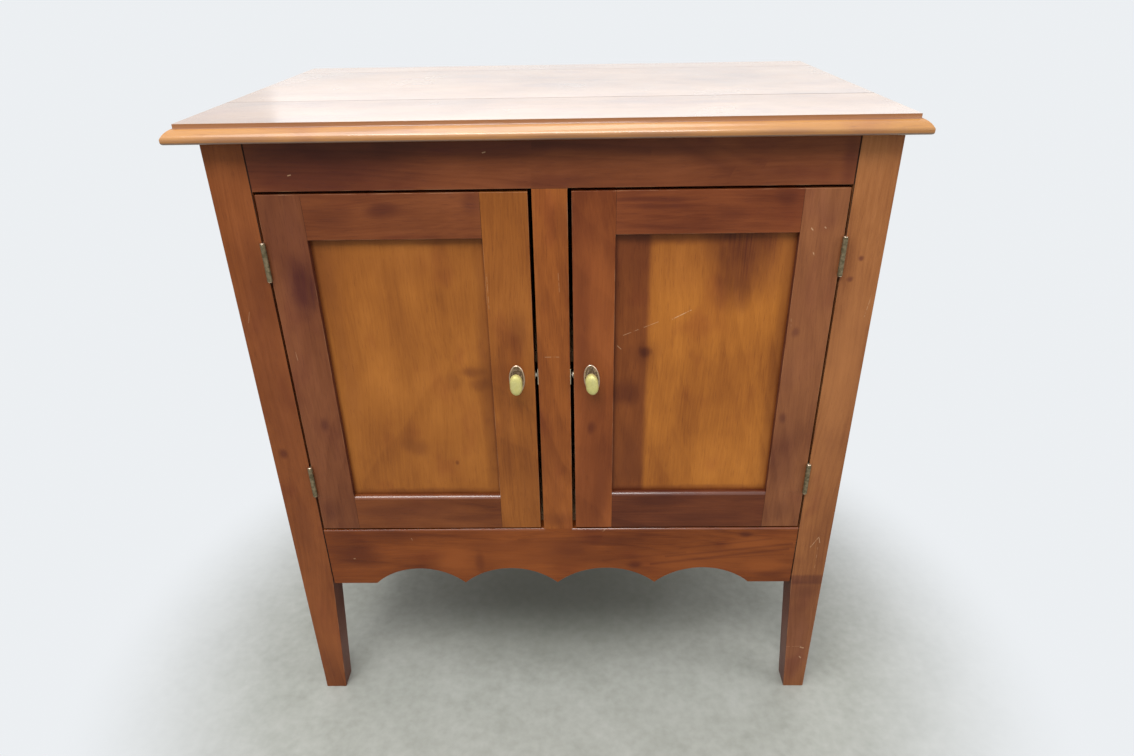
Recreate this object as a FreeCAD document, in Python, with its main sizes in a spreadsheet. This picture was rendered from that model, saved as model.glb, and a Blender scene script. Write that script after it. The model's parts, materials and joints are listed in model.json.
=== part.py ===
import FreeCAD, Part
import math
import os
from types import SimpleNamespace

import Sketcher

# A dry sink cabinet: a moulded three-board top on four tapered legs, two flush panelled
# doors that meet at a centre stile, a scalloped apron, a shelf, and a boarded back.
# Millimetres. X runs to the right, Y to the back, Z up. The origin is on the floor,
# under the middle of the case, halfway between the top's front and back edges.

os.makedirs("parts", exist_ok=True)
doc = FreeCAD.newDocument("dry_sink_cabinet")


# ---------------------------------------------------------------- the sheet of sizes

SIZES = {
    # the whole cabinet
    "total_height": 876,
    "total_depth": 510,
    "case_width": 762,
    "front_overhang": 24.5,
    "back_overhang": 5.5,
    "left_overhang": 29.5,
    "right_overhang": 19.5,
    # the moulded top
    "top_thickness": 20,
    "top_front_joint": 133,
    "top_back_joint": 420,
    "mould_reach": 11.5,
    "mould_step": 4.5,
    "mould_nose_height": 6,
    "mould_radius": 18,
    "mould_under_radius": 3,
    "shrinkage_start": 110,
    "shrinkage_width": 1,
    # legs
    "leg_width": 46.5,
    "leg_depth": 40,
    "foot_width": 31,
    "taper_top": 240,
    # front frame
    "rail_thickness": 20,
    "front_rail_low": 799.5,
    "apron_top": 319.5,
    "apron_low": 220,
    "scallop_rise": 27.5,
    "cusp_far_left": -270.5,
    "cusp_left": -140,
    "cusp_middle": -5,
    "cusp_right": 136.5,
    "cusp_far_right": 272.8,
    "centre_stile_width": 40,
    "centre_stile_shift": -1.8,
    "tenon_thickness": 8,
    "tenon_length": 22,
    "tenon_shoulder": 6,
    "apron_tenon_low": 262,
    "stile_tenon_length": 18,
    # sides, back and inside
    "side_thickness": 14,
    "side_recess": 8,
    "side_housing": 10,
    "back_board_thickness": 9,
    "back_board_recess": 4,
    "back_board_width": 230,
    "back_groove_depth": 14,
    "tongue_thickness": 3,
    "tongue_depth": 6,
    "back_rail_height": 60,
    "board_thickness": 16,
    "bottom_top": 332,
    "shelf_top": 576,
    "shelf_setback": 45,
    "shelf_ease": 0.5,
    "cleat_size": 18,
    "cleat_end_gap": 6,
    "long_cleat_half": 300,
    # doors
    "door_thickness": 19,
    "door_low_gap": 3,
    "door_high_gap": 3.5,
    "hinge_gap": 2,
    "lock_gap": 4.5,
    "hinge_stile_width": 50.5,
    "lock_stile_left": 54,
    "lock_stile_right": 50,
    "top_rail_left": 53.2,
    "top_rail_right": 50.4,
    "bottom_rail_left": 54.2,
    "bottom_rail_right": 58.5,
    "panel_recess": 8,
    "panel_thickness": 6,
    "panel_groove": 8,
    "panel_ease": 1,
    "door_tenon_length": 30,
    # butt hinges
    "hinge_length": 46,
    "upper_hinge_low": 694.5,
    "lower_hinge_low": 382,
    "hinge_knuckle_radius": 3,
    "hinge_pin_radius": 1.5,
    "hinge_pin_forward": 3.2,
    "hinge_pin_head": 2.6,
    "hinge_pin_head_height": 1.2,
    "leaf_width": 17.5,
    "leaf_thickness": 1.5,
    "leaf_half_gap": 0.2,
    "knuckle_ease": 0.2,
    "knuckle_relief": 0.35,
    "frame_bore_ease": 0.02,
    "door_bore_ease": 0.05,
    # screws
    "hinge_screw_radius": 1.6,
    "hinge_screw_head": 3,
    "hinge_screw_length": 13,
    "wood_screw_radius": 2,
    "wood_screw_head": 4,
    "wood_screw_length": 28,
    "strike_screw_radius": 1.1,
    "strike_screw_head": 1.9,
    "strike_screw_length": 10,
    "screw_ease": 0.05,
    "slot_width": 0.7,
    "slot_depth": 0.6,
    # knobs
    "knob_offset": 22.6,
    "knob_height": 559,
    "knob_plate_tall": 20,
    "knob_plate_wide": 10,
    "knob_plate_thickness": 1.5,
    "knob_plate_rim": 2.2,
    "knob_plate_dish": 0.6,
    "knob_centre_reach": 15,
    "knob_head_tall": 14.2,
    "knob_head_wide": 8.5,
    "knob_head_deep": 5.5,
    "knob_neck_radius": 3.8,
    "knob_screw_radius": 2,
    "knob_screw_head": 4,
    "knob_screw_head_height": 2.2,
    "knob_screw_reach": 9,
    "knob_hole_ease": 0.3,
    # ball catches
    "catch_height": 562,
    "catch_inset": 6.5,
    "catch_barrel_radius": 4.5,
    "catch_barrel_length": 14,
    "catch_flange_radius": 5.5,
    "catch_flange_thickness": 1,
    "catch_lip_thickness": 0.3,
    "catch_lip_ease": 0.08,
    "catch_ball_radius": 3.5,
    "catch_ball_inset": 0.4,
    "catch_bore_ease": 0.1,
    "catch_end_wall": 1,
    "spring_radius": 2.5,
    "spring_wire_radius": 0.35,
    "spring_pitch": 1.6,
    "strike_tall": 22,
    "strike_wide": 12,
    "strike_thickness": 0.8,
    "strike_hole_radius": 2.8,
    "strike_screw_spread": 8,
}


class Size:
    """A length that keeps both its value and the sheet formula that it comes from."""

    def __init__(self, value, formula=None):
        self.value = value.value if isinstance(value, Size) else float(value)
        self.formula = value.formula if isinstance(value, Size) else formula or repr(value)

    def joined(self, sign, other, value):
        return Size(value, f"({self.formula} {sign} {other.formula})")

    def __add__(self, other):
        other = Size(other)
        return self.joined("+", other, self.value + other.value)

    def __sub__(self, other):
        other = Size(other)
        return self.joined("-", other, self.value - other.value)

    def __mul__(self, other):
        other = Size(other)
        return self.joined("*", other, self.value * other.value)

    def __truediv__(self, other):
        other = Size(other)
        return self.joined("/", other, self.value / other.value)

    def __radd__(self, other):
        return Size(other) + self

    def __rsub__(self, other):
        return Size(other) - self

    def __rmul__(self, other):
        return Size(other) * self

    def __neg__(self):
        return Size(0) - self


sheet = doc.addObject("Spreadsheet::Sheet", "sizes")
for row, (alias, number) in enumerate(SIZES.items(), start=1):
    sheet.set(f"A{row}", alias)
    sheet.set(f"B{row}", str(number))
    sheet.setAlias(f"B{row}", alias)
doc.recompute()

dim = SimpleNamespace(**{alias: Size(number, f"sizes.{alias}") for alias, number in SIZES.items()})


# ------------------------------------------------------------ small modelling helpers


def bind(thing, **sizes):
    """Set properties to sizes, and tie them to the sheet."""
    for name, size in sizes.items():
        size = Size(size)
        setattr(thing, name, size.value)
        thing.setExpression(name, size.formula)


def place(thing, x=0, y=0, z=0, turn=None):
    """Put an object at a point, turned by a FreeCAD rotation, and tie the point to the sheet."""
    point = [Size(x), Size(y), Size(z)]
    base = FreeCAD.Vector(*[size.value for size in point])
    thing.Placement = FreeCAD.Placement(base, turn or FreeCAD.Rotation())
    for axis, size in zip("xyz", point):
        thing.setExpression(f"Placement.Base.{axis}", size.formula)


def in_order(pair):
    return sorted((Size(end) for end in pair), key=lambda size: size.value)


def block(label, x, y, z):
    """A rectangular piece between two places on each axis, given in either order."""
    box = doc.addObject("Part::Box", label)
    (left, right), (near, far), (low, high) = in_order(x), in_order(y), in_order(z)
    bind(box, Length=right - left, Width=far - near, Height=high - low)
    place(box, left, near, low)
    return box


TURNS = {
    ("x", 1): FreeCAD.Rotation(FreeCAD.Vector(0, 1, 0), 90),
    ("x", -1): FreeCAD.Rotation(FreeCAD.Vector(0, 1, 0), -90),
    ("y", 1): FreeCAD.Rotation(FreeCAD.Vector(1, 0, 0), -90),
    ("y", -1): FreeCAD.Rotation(FreeCAD.Vector(1, 0, 0), 90),
    ("z", 1): FreeCAD.Rotation(),
    ("z", -1): FreeCAD.Rotation(FreeCAD.Vector(1, 0, 0), 180),
}


def rod(label, radius, length, start, axis, way=1):
    """A round bar that starts at a point and runs along an axis, forwards or backwards."""
    bar = doc.addObject("Part::Cylinder", label)
    bind(bar, Radius=radius, Height=length)
    place(bar, *start, turn=TURNS[axis, way])
    return bar


def cone(label, base_radius, end_radius, length, start, axis, way=1):
    taper = doc.addObject("Part::Cone", label)
    bind(taper, Radius1=base_radius, Radius2=end_radius, Height=length)
    place(taper, *start, turn=TURNS[axis, way])
    return taper


def fuse(label, *shapes):
    whole = doc.addObject("Part::MultiFuse", label)
    whole.Shapes = list(shapes)
    whole.Refine = True
    return whole


def cut(label, blank, *cutters):
    piece = doc.addObject("Part::Cut", label)
    piece.Base = blank
    piece.Tool = cutters[0] if len(cutters) == 1 else fuse(f"{label}_cutters", *cutters)
    piece.Refine = True
    return piece


def common(label, one, other):
    piece = doc.addObject("Part::Common", label)
    piece.Base = one
    piece.Tool = other
    piece.Refine = True
    return piece


def group(label, *solids):
    """Separate solids that share one node."""
    together = doc.addObject("Part::Compound", label)
    together.Links = list(solids)
    return together


def arc_between(start, end, radius):
    """The short arc from start to end. A positive radius swells to the right of travel."""
    chord = end - start
    sagitta = abs(radius) - math.sqrt(radius**2 - (chord.Length / 2) ** 2)
    right = FreeCAD.Vector(chord.y, -chord.x, 0).normalize()
    middle = (start + end) / 2 + right * math.copysign(sagitta, radius)
    return Part.Arc(start, middle, end)


def draw(sketch, outline):
    """Draw a closed outline. A point is (across, up), or (across, up, radius) where an arc arrives."""
    corners = [FreeCAD.Vector(Size(point[0]).value, Size(point[1]).value, 0) for point in outline]
    count = len(corners)
    starts = []
    for edge in range(count):
        start, end = corners[edge], corners[(edge + 1) % count]
        target = outline[(edge + 1) % count]
        if len(target) == 3:
            sketch.addGeometry(arc_between(start, end, Size(target[2]).value), False)
        else:
            sketch.addGeometry(Part.LineSegment(start, end), False)
        starts.append(1 if sketch.getPoint(edge, 1).distanceToPoint(start) < 1e-6 else 2)
    for edge in range(count):
        following = (edge + 1) % count
        own_end = 3 - starts[edge]
        sketch.addConstraint(Sketcher.Constraint("Coincident", edge, own_end, following, starts[following]))
    for edge, point in enumerate(outline):
        for kind, size in (("DistanceX", Size(point[0])), ("DistanceY", Size(point[1]))):
            tie = sketch.addConstraint(Sketcher.Constraint(kind, -1, 1, edge, starts[edge], size.value))
            sketch.setExpression(f"Constraints[{tie}]", size.formula)
        if len(point) == 3:
            radius = Size(point[2])
            radius = radius if radius.value > 0 else -radius
            tie = sketch.addConstraint(Sketcher.Constraint("Radius", (edge - 1) % count, radius.value))
            sketch.setExpression(f"Constraints[{tie}]", radius.formula)


def outlined(label, plane, outline, ends):
    """A body: an outline on the XY, XZ or YZ plane, padded across that plane between two ends."""
    low, high = in_order(ends)
    body = doc.addObject("PartDesign::Body", label)
    sketch = body.newObject("Sketcher::SketchObject", f"{label}_outline")
    own_plane = next(f for f in body.Origin.OriginFeatures if f.Role == f"{plane}_Plane")
    sketch.AttachmentSupport = [(own_plane, "")]
    sketch.MapMode = "FlatFace"
    draw(sketch, outline)
    pad = body.newObject("PartDesign::Pad", f"{label}_pad")
    pad.Profile = sketch
    bind(pad, Length=high - low)
    # A pad on the XZ plane runs towards -Y, so that body stands at its far end.
    start = {"XY": {"z": low}, "XZ": {"y": high}, "YZ": {"x": low}}[plane]
    place(body, **start)
    return body


def screw_form(label, head_at, axis, way, shank, head, length, ease=0):
    """A countersunk screw, or with some ease the hole that it sits in."""
    shaft = rod(f"{label}_shank", shank + ease, length + ease, head_at, axis, way)
    taper = cone(f"{label}_head", head + ease, shank + ease, head - shank, head_at, axis, way)
    return fuse(label, shaft, taper)


def screw(label, head_at, axis, way, shank, head, length):
    """A slotted countersunk screw and its hole. head_at is the middle of the head's flat face."""
    solid = screw_form(f"{label}_form", head_at, axis, way, shank, head, length)
    hole = screw_form(f"{label}_hole", head_at, axis, way, shank, head, length, dim.screw_ease)
    reach = {"x": (0, 0, head), "y": (0, 0, head), "z": (head, 0, 0)}[axis]
    across = {"x": (0, 1, 0), "y": (1, 0, 0), "z": (0, 1, 0)}[axis]
    spans = []
    for name, centre, half, thin in zip("xyz", head_at, reach, across):
        if name == axis:
            spans.append((centre, centre + way * dim.slot_depth))
        else:
            wide = half + thin * dim.slot_width / 2
            spans.append((centre - wide, centre + wide))
    return cut(label, solid, block(f"{label}_slot", *spans)), hole


pieces = []


def keep(*finished):
    """Note the finished pieces. Each one's label is the name of its node."""
    pieces.extend(finished)


# -------------------------------------------------- planes that many pieces share

SIDES = {"left": -1, "right": 1}

half_width = dim.case_width / 2
leg_inner = half_width - dim.leg_width
front = dim.front_overhang - dim.total_depth / 2
back = dim.total_depth / 2 - dim.back_overhang
top_underside = dim.total_height - dim.top_thickness
side_outer = half_width - dim.side_recess
side_inner = side_outer - dim.side_thickness
rail_back = front + dim.rail_thickness
frame_tenon = (front + dim.tenon_shoulder, front + dim.tenon_shoulder + dim.tenon_thickness)
tenon_end = leg_inner + dim.tenon_length
back_boards_front = back - dim.back_board_recess - dim.back_board_thickness
back_rail_front = back_boards_front - dim.rail_thickness
bottom_under = dim.bottom_top - dim.board_thickness
shelf_under = dim.shelf_top - dim.board_thickness


# ------------------------------------------------------------------- front frame

front_rail_tenon = block(
    "front_rail_tenon",
    (-tenon_end, tenon_end),
    frame_tenon,
    (dim.front_rail_low + dim.tenon_shoulder, top_underside - dim.tenon_shoulder),
)
apron_tenon = block(
    "apron_tenon",
    (-tenon_end, tenon_end),
    frame_tenon,
    (dim.apron_tenon_low, dim.apron_top - dim.tenon_shoulder),
)
centre_edges = {
    side: dim.centre_stile_shift + sign * dim.centre_stile_width / 2 for side, sign in SIDES.items()
}
centre_stile_tenon = block(
    "centre_stile_tenon",
    (centre_edges["left"] + dim.tenon_shoulder, centre_edges["right"] - dim.tenon_shoulder),
    frame_tenon,
    (dim.apron_top - dim.stile_tenon_length, dim.front_rail_low + dim.stile_tenon_length),
)

front_rail_board = block(
    "front_rail_board",
    (-leg_inner, leg_inner),
    (front, rail_back),
    (dim.front_rail_low, top_underside),
)
front_rail_blank = fuse("front_rail_blank", front_rail_board, front_rail_tenon)


def scalloped_outline():
    """The apron from the front: a straight top, and four arcs that rise between the cusps."""
    cusps = [dim.cusp_far_left, dim.cusp_left, dim.cusp_middle, dim.cusp_right, dim.cusp_far_right]
    outline = [(-leg_inner, dim.apron_low), (cusps[0], dim.apron_low)]
    for start, end in zip(cusps, cusps[1:]):
        half = (end - start) / 2
        radius = (half * half + dim.scallop_rise * dim.scallop_rise) / (dim.scallop_rise * 2)
        outline.append((end, dim.apron_low, -radius))
    return outline + [(leg_inner, dim.apron_low), (leg_inner, dim.apron_top), (-leg_inner, dim.apron_top)]


apron_board = outlined("apron_board", "XZ", scalloped_outline(), (front, rail_back))
apron_blank = fuse("apron_blank", apron_board, apron_tenon)

centre_stile_board = block(
    "centre_stile_board",
    (centre_edges["left"], centre_edges["right"]),
    (front, rail_back),
    (dim.apron_top, dim.front_rail_low),
)
centre_stile_blank = fuse("centre_stile_blank", centre_stile_board, centre_stile_tenon)


# ------------------------------------------------------------- sides and back

side_panels = {
    side: block(
        f"side_panel_{side}_board",
        (sign * side_inner, sign * side_outer),
        (front + dim.leg_depth - dim.side_housing, back - dim.leg_depth + dim.side_housing),
        (dim.apron_low, top_underside),
    )
    for side, sign in SIDES.items()
}

back_groove = block(
    "back_groove",
    (-leg_inner - dim.back_groove_depth, leg_inner + dim.back_groove_depth),
    (back_boards_front, back - dim.back_board_recess),
    (dim.apron_low, top_underside),
)

back_rail_tenon_y = (
    back_boards_front - dim.tenon_shoulder - dim.tenon_thickness,
    back_boards_front - dim.tenon_shoulder,
)
back_rail_tenons = {}
back_rail_blanks = {}
back_rails_z = {
    "top": (top_underside - dim.back_rail_height, top_underside),
    "bottom": (bottom_under - dim.back_rail_height, bottom_under),
}
for level, (low, high) in back_rails_z.items():
    back_rail_tenons[level] = block(
        f"back_{level}_rail_tenon",
        (-tenon_end, tenon_end),
        back_rail_tenon_y,
        (low + dim.tenon_shoulder, high - dim.tenon_shoulder),
    )
    board = block(
        f"back_{level}_rail_board",
        (-leg_inner, leg_inner),
        (back_rail_front, back_boards_front),
        (low, high),
    )
    back_rail_blanks[level] = fuse(f"back_{level}_rail_blank", board, back_rail_tenons[level])

# Three boards: a tongue along each edge of the middle one fits a groove in its neighbour.
half_board = dim.back_board_width / 2
tongue_middle = (back_boards_front + back - dim.back_board_recess) / 2
tongues = [
    block(
        f"back_tongue_{side}",
        (sign * half_board, sign * (half_board + dim.tongue_depth)),
        (tongue_middle - dim.tongue_thickness / 2, tongue_middle + dim.tongue_thickness / 2),
        (dim.apron_low, top_underside),
    )
    for side, sign in SIDES.items()
]


def back_board(label, x):
    return block(
        label,
        x,
        (back_boards_front, back - dim.back_board_recess),
        (dim.apron_low, top_underside),
    )


keep(fuse("back_board_centre", back_board("back_board_centre_flat", (-half_board, half_board)), *tongues))
for (side, sign), tongue in zip(SIDES.items(), tongues):
    x = (sign * half_board, sign * (leg_inner + dim.back_groove_depth))
    keep(cut(f"back_board_{side}", back_board(f"back_board_{side}_flat", x), tongue))


# -------------------------------------------------------------------- butt hinges

hinge_levels = {"upper": dim.upper_hinge_low, "lower": dim.lower_hinge_low}
pin_y = front - dim.hinge_pin_forward
KNUCKLES = 5
knuckle_length = dim.hinge_length / KNUCKLES
leaf_plates = {}
leaf_holes = {}
leaf_screws = {"frame": [], "left": [], "right": []}
hinge_pins = []


def hinge(side, sign, level, low):
    """One butt hinge: two leaves with knuckles by turns, the screw holes, and the pin."""
    pin_x = sign * (leg_inner - dim.hinge_gap / 2)
    high = low + dim.hinge_length
    name = f"{side}_{level}"
    for half, way, bore_ease in (("frame", sign, dim.frame_bore_ease), ("door", -sign, dim.door_bore_ease)):
        leaf = f"{half}_leaf_{name}"
        plate = block(
            f"{leaf}_plate",
            (pin_x + way * dim.leaf_half_gap, pin_x + way * (dim.leaf_half_gap + dim.leaf_thickness)),
            (pin_y, pin_y + dim.leaf_width),
            (low, high),
        )
        own, others = [], []
        for number in range(KNUCKLES):
            start = low + number * knuckle_length
            is_own = (number % 2 == 0) == (half == "frame")
            ease = dim.knuckle_ease if half == "door" else Size(0)
            if is_own:
                point = (pin_x, pin_y, start + ease)
                length = knuckle_length - ease * 2
                own.append(rod(f"{leaf}_knuckle_{number}", dim.hinge_knuckle_radius, length, point, "z"))
            else:
                point = (pin_x, pin_y, start - ease)
                length = knuckle_length + ease * 2
                radius = dim.hinge_knuckle_radius + dim.knuckle_relief
                others.append(rod(f"{leaf}_relief_{number}", radius, length, point, "z"))
        holes = []
        for number, (along, inward) in enumerate(((0.16, 0.55), (0.5, 0.75), (0.84, 0.55))):
            head_at = (
                pin_x + way * dim.leaf_half_gap,
                pin_y + dim.leaf_width * inward,
                low + dim.hinge_length * along,
            )
            fixing, hole = screw(
                f"{leaf}_screw_{number}",
                head_at,
                "x",
                int(way),
                dim.hinge_screw_radius,
                dim.hinge_screw_head,
                dim.hinge_screw_length,
            )
            leaf_screws["frame" if half == "frame" else side].append(fixing)
            holes.append(hole)
        leaf_plates[half, side, level] = plate
        leaf_holes[half, side, level] = fuse(f"{leaf}_holes", *holes)
        bore = rod(f"{leaf}_bore", dim.hinge_pin_radius + bore_ease, dim.hinge_length, (pin_x, pin_y, low), "z")
        relieved = cut(f"{leaf}_relieved", plate, *others)
        keep(cut(leaf, fuse(f"{leaf}_blank", relieved, *own), bore, leaf_holes[half, side, level]))
    shaft = rod(f"pin_{name}_shaft", dim.hinge_pin_radius, dim.hinge_length, (pin_x, pin_y, low), "z")
    cap = rod(f"pin_{name}_cap", dim.hinge_pin_head, dim.hinge_pin_head_height, (pin_x, pin_y, high), "z")
    foot = rod(f"pin_{name}_foot", dim.hinge_pin_head, dim.hinge_pin_head_height, (pin_x, pin_y, low), "z", -1)
    hinge_pins.append(fuse(f"pin_{name}", shaft, cap, foot))


for side, sign in SIDES.items():
    for level, low in hinge_levels.items():
        hinge(side, sign, level, low)
keep(group("hinge_pins", *hinge_pins))
keep(group("frame_hinge_screws", *leaf_screws["frame"]))
for side in SIDES:
    keep(group(f"door_{side}_hinge_screws", *leaf_screws[side]))


# ------------------------------------------------------------------------- legs


def leg_outline(outer, inner, foot):
    """A leg seen square on: straight outside, and tapered inside below the case."""
    return [(outer, 0), (foot, 0), (inner, dim.taper_top), (inner, top_underside), (outer, top_underside)]


leg_blanks = {}
for side, sign in SIDES.items():
    for end, face, way in (("front", front, 1), ("back", back, -1)):
        name = f"leg_{end}_{side}"
        across = leg_outline(sign * half_width, sign * leg_inner, sign * (half_width - dim.foot_width))
        along = leg_outline(face, face + way * dim.leg_depth, face + way * dim.foot_width)
        front_view = outlined(f"{name}_front_view", "XZ", across, (face, face + way * dim.leg_depth))
        side_view = outlined(f"{name}_side_view", "YZ", along, (sign * half_width, sign * leg_inner))
        leg_blanks[end, side] = common(f"{name}_blank", front_view, side_view)

for side in SIDES:
    cutters = [front_rail_tenon, apron_tenon, side_panels[side]]
    for level in hinge_levels:
        cutters += [leaf_plates["frame", side, level], leaf_holes["frame", side, level]]
    keep(cut(f"leg_front_{side}", leg_blanks["front", side], *cutters))
    cutters = [*back_rail_tenons.values(), side_panels[side], back_groove]
    keep(cut(f"leg_back_{side}", leg_blanks["back", side], *cutters))


# --------------------------------------------------- bottom, shelf and cleats

bottom_blank = block(
    "bottom_board_blank",
    (-side_inner, side_inner),
    (rail_back, back_boards_front),
    (bottom_under, dim.bottom_top),
)
keep(cut("bottom_board", bottom_blank, *leg_blanks.values()))

shelf_blank = block(
    "shelf_blank",
    (dim.shelf_ease - side_inner, side_inner - dim.shelf_ease),
    (front + dim.shelf_setback, back_boards_front),
    (shelf_under, dim.shelf_top),
)
keep(cut("shelf", shelf_blank, leg_blanks["back", "left"], leg_blanks["back", "right"]))

case_screws = []
side_holes = {"left": [], "right": []}
rail_holes = []
apron_holes = []
back_rail_holes = []
top_holes = []


def case_screw(label, head_at, axis, way):
    fixing, hole = screw(
        label, head_at, axis, way, dim.wood_screw_radius, dim.wood_screw_head, dim.wood_screw_length
    )
    case_screws.append(fixing)
    return hole


cleat_y = (front + dim.leg_depth + dim.cleat_end_gap, back - dim.leg_depth - dim.cleat_end_gap)
screw_y = (cleat_y[0] + dim.cleat_size * 2, cleat_y[1] - dim.cleat_size * 2)
cleat_half = dim.cleat_size / 2


def side_cleat(name, side, sign, carried):
    """A batten screwed to a side panel under a board whose underside is at carried."""
    inner = sign * (side_inner - dim.cleat_size)
    low = carried - dim.cleat_size
    batten = block(f"{name}_{side}_batten", (sign * side_inner, inner), cleat_y, (low, carried))
    holes = []
    for end, y in enumerate(screw_y):
        holes.append(case_screw(f"{name}_{side}_screw_{end}", (inner, y, low + cleat_half), "x", sign))
    side_holes[side].extend(holes)
    if name == "top_cleat":
        for end, y in enumerate(screw_y):
            point = (sign * (side_inner - cleat_half), y + dim.cleat_size, low)
            holes.append(case_screw(f"{name}_{side}_riser_{end}", point, "z", 1))
            top_holes.append(holes[-1])
    return cut(f"{name}_{side}", batten, *holes)


def long_cleat(name, face, way, carried, holes_behind):
    """A batten screwed to the back of a rail, with its far face one cleat away from the rail's face."""
    away = face + way * dim.cleat_size
    low = carried - dim.cleat_size
    x = (-dim.long_cleat_half, dim.long_cleat_half)
    batten = block(f"{name}_batten", x, (face, away), (low, carried))
    holes = []
    for end in (-1, 1):
        point = (end * dim.long_cleat_half * 0.8, away, low + cleat_half)
        holes.append(case_screw(f"{name}_screw_{end + 1}", point, "y", -way))
    holes_behind.extend(holes)
    if carried is top_underside:
        for end in (-1, 1):
            point = (end * dim.long_cleat_half * 0.6, face + way * cleat_half, low)
            holes.append(case_screw(f"{name}_riser_{end + 1}", point, "z", 1))
            top_holes.append(holes[-1])
    return cut(name, batten, *holes)


levels = {"top_cleat": top_underside, "shelf_cleat": shelf_under, "bottom_cleat": bottom_under}
cleats = {
    name: [side_cleat(name, side, sign, carried) for side, sign in SIDES.items()]
    for name, carried in levels.items()
}
cleats["top_cleat"].append(long_cleat("top_cleat_front", rail_back, 1, top_underside, rail_holes))
cleats["top_cleat"].append(long_cleat("top_cleat_back", back_rail_front, -1, top_underside, back_rail_holes))
cleats["bottom_cleat"].append(long_cleat("bottom_cleat_front", rail_back, 1, bottom_under, apron_holes))
for name, battens in cleats.items():
    keep(group(f"{name}s", *battens))
keep(group("cleat_screws", *case_screws))

for side, board in side_panels.items():
    keep(cut(f"side_panel_{side}", board, *side_holes[side]))
back_rail_blanks["bottom"].Label = "back_bottom_rail"
keep(back_rail_blanks["bottom"], cut("back_top_rail", back_rail_blanks["top"], *back_rail_holes))
keep(cut("front_rail", front_rail_blank, centre_stile_tenon, *rail_holes))
keep(cut("scalloped_apron", apron_blank, centre_stile_tenon, *apron_holes))


# ------------------------------------------------------------------ moulded top

top_left = -half_width - dim.left_overhang
top_right = half_width + dim.right_overhang
top_front = -dim.total_depth / 2
top_back = dim.total_depth / 2
front_joint = front + dim.top_front_joint
back_joint = front + dim.top_back_joint
nose_low = top_underside + dim.mould_under_radius
nose_high = top_underside + dim.mould_nose_height
step_foot = dim.total_height - dim.mould_step


def moulded_end(edge, inward):
    """The moulding at an edge, from the underside up: under-round, nose, thumbnail arc, small step."""
    return [
        (edge + inward * dim.mould_under_radius, top_underside),
        (edge, nose_low, dim.mould_under_radius),
        (edge, nose_high),
        (edge + inward * dim.mould_reach, step_foot, dim.mould_radius),
        (edge + inward * dim.mould_reach, dim.total_height),
    ]


def downwards(climb):
    """The same moulding walked from the top down: each arc's radius moves to its other end."""
    flat = [point[:2] for point in reversed(climb)]
    for number, point in enumerate(reversed(climb)):
        if len(point) == 3:
            flat[number + 1] = (*flat[number + 1], point[2])
    return flat


across_section = moulded_end(top_right, -1) + downwards(moulded_end(top_left, 1))
front_section = [
    (front_joint, top_underside),
    (front_joint, dim.total_height),
    *downwards(moulded_end(top_front, 1)),
]

front_board_across = outlined("top_front_across", "XZ", across_section, (top_front, front_joint))
front_board_along = outlined("top_front_along", "YZ", front_section, (top_left, top_right))
front_board = common("top_front_blank", front_board_across, front_board_along)
middle_board = outlined("top_middle_blank", "XZ", across_section, (front_joint, back_joint))
back_board_of_top = outlined("top_back_blank", "XZ", across_section, (back_joint, top_back))

# The glue line behind the front board has opened a little towards the right end.
opened_joint = outlined(
    "opened_joint",
    "XY",
    [
        (dim.shrinkage_start, front_joint),
        (top_right, front_joint),
        (top_right, front_joint + dim.shrinkage_width),
    ],
    (top_underside, dim.total_height),
)
keep(cut("top_board_front", front_board, *top_holes))
keep(cut("top_board_middle", middle_board, opened_joint, *top_holes))
keep(cut("top_board_back", back_board_of_top, *top_holes))


# -------------------------------------------------------------- strike plates

catch_y = front + dim.catch_inset
strike_screws = []
strike_cutters = []
for side, sign in SIDES.items():
    edge = centre_edges[side]
    plate = block(
        f"strike_plate_{side}_flat",
        (edge, edge + sign * dim.strike_thickness),
        (catch_y - dim.strike_wide / 2, catch_y + dim.strike_wide / 2),
        (dim.catch_height - dim.strike_tall / 2, dim.catch_height + dim.strike_tall / 2),
    )
    dimple_at = (edge, catch_y, dim.catch_height)
    dimple = rod(f"strike_{side}_dimple", dim.strike_hole_radius, dim.strike_thickness, dimple_at, "x", sign)
    holes = []
    for end in (-1, 1):
        head_at = (
            edge + sign * dim.strike_thickness,
            catch_y,
            dim.catch_height + end * dim.strike_screw_spread,
        )
        fixing, hole = screw(
            f"strike_screw_{side}_{end + 1}",
            head_at,
            "x",
            -sign,
            dim.strike_screw_radius,
            dim.strike_screw_head,
            dim.strike_screw_length,
        )
        strike_screws.append(fixing)
        holes.append(hole)
    strike_cutters.extend(holes)
    keep(cut(f"strike_plate_{side}", plate, dimple, *holes))
keep(group("strike_screws", *strike_screws))
keep(cut("centre_stile", centre_stile_blank, *strike_cutters))


# ------------------------------------------------------------------------ doors

door_low = dim.apron_top + dim.door_low_gap
door_high = dim.front_rail_low - dim.door_high_gap
lock_stiles = {"left": dim.lock_stile_left, "right": dim.lock_stile_right}
panel_lows = {"left": door_low + dim.bottom_rail_left, "right": door_low + dim.bottom_rail_right}
panel_highs = {"left": door_high - dim.top_rail_left, "right": door_high - dim.top_rail_right}
door_y = (front, front + dim.door_thickness)
groove_y = (front + dim.panel_recess, front + dim.panel_recess + dim.panel_thickness)


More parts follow.
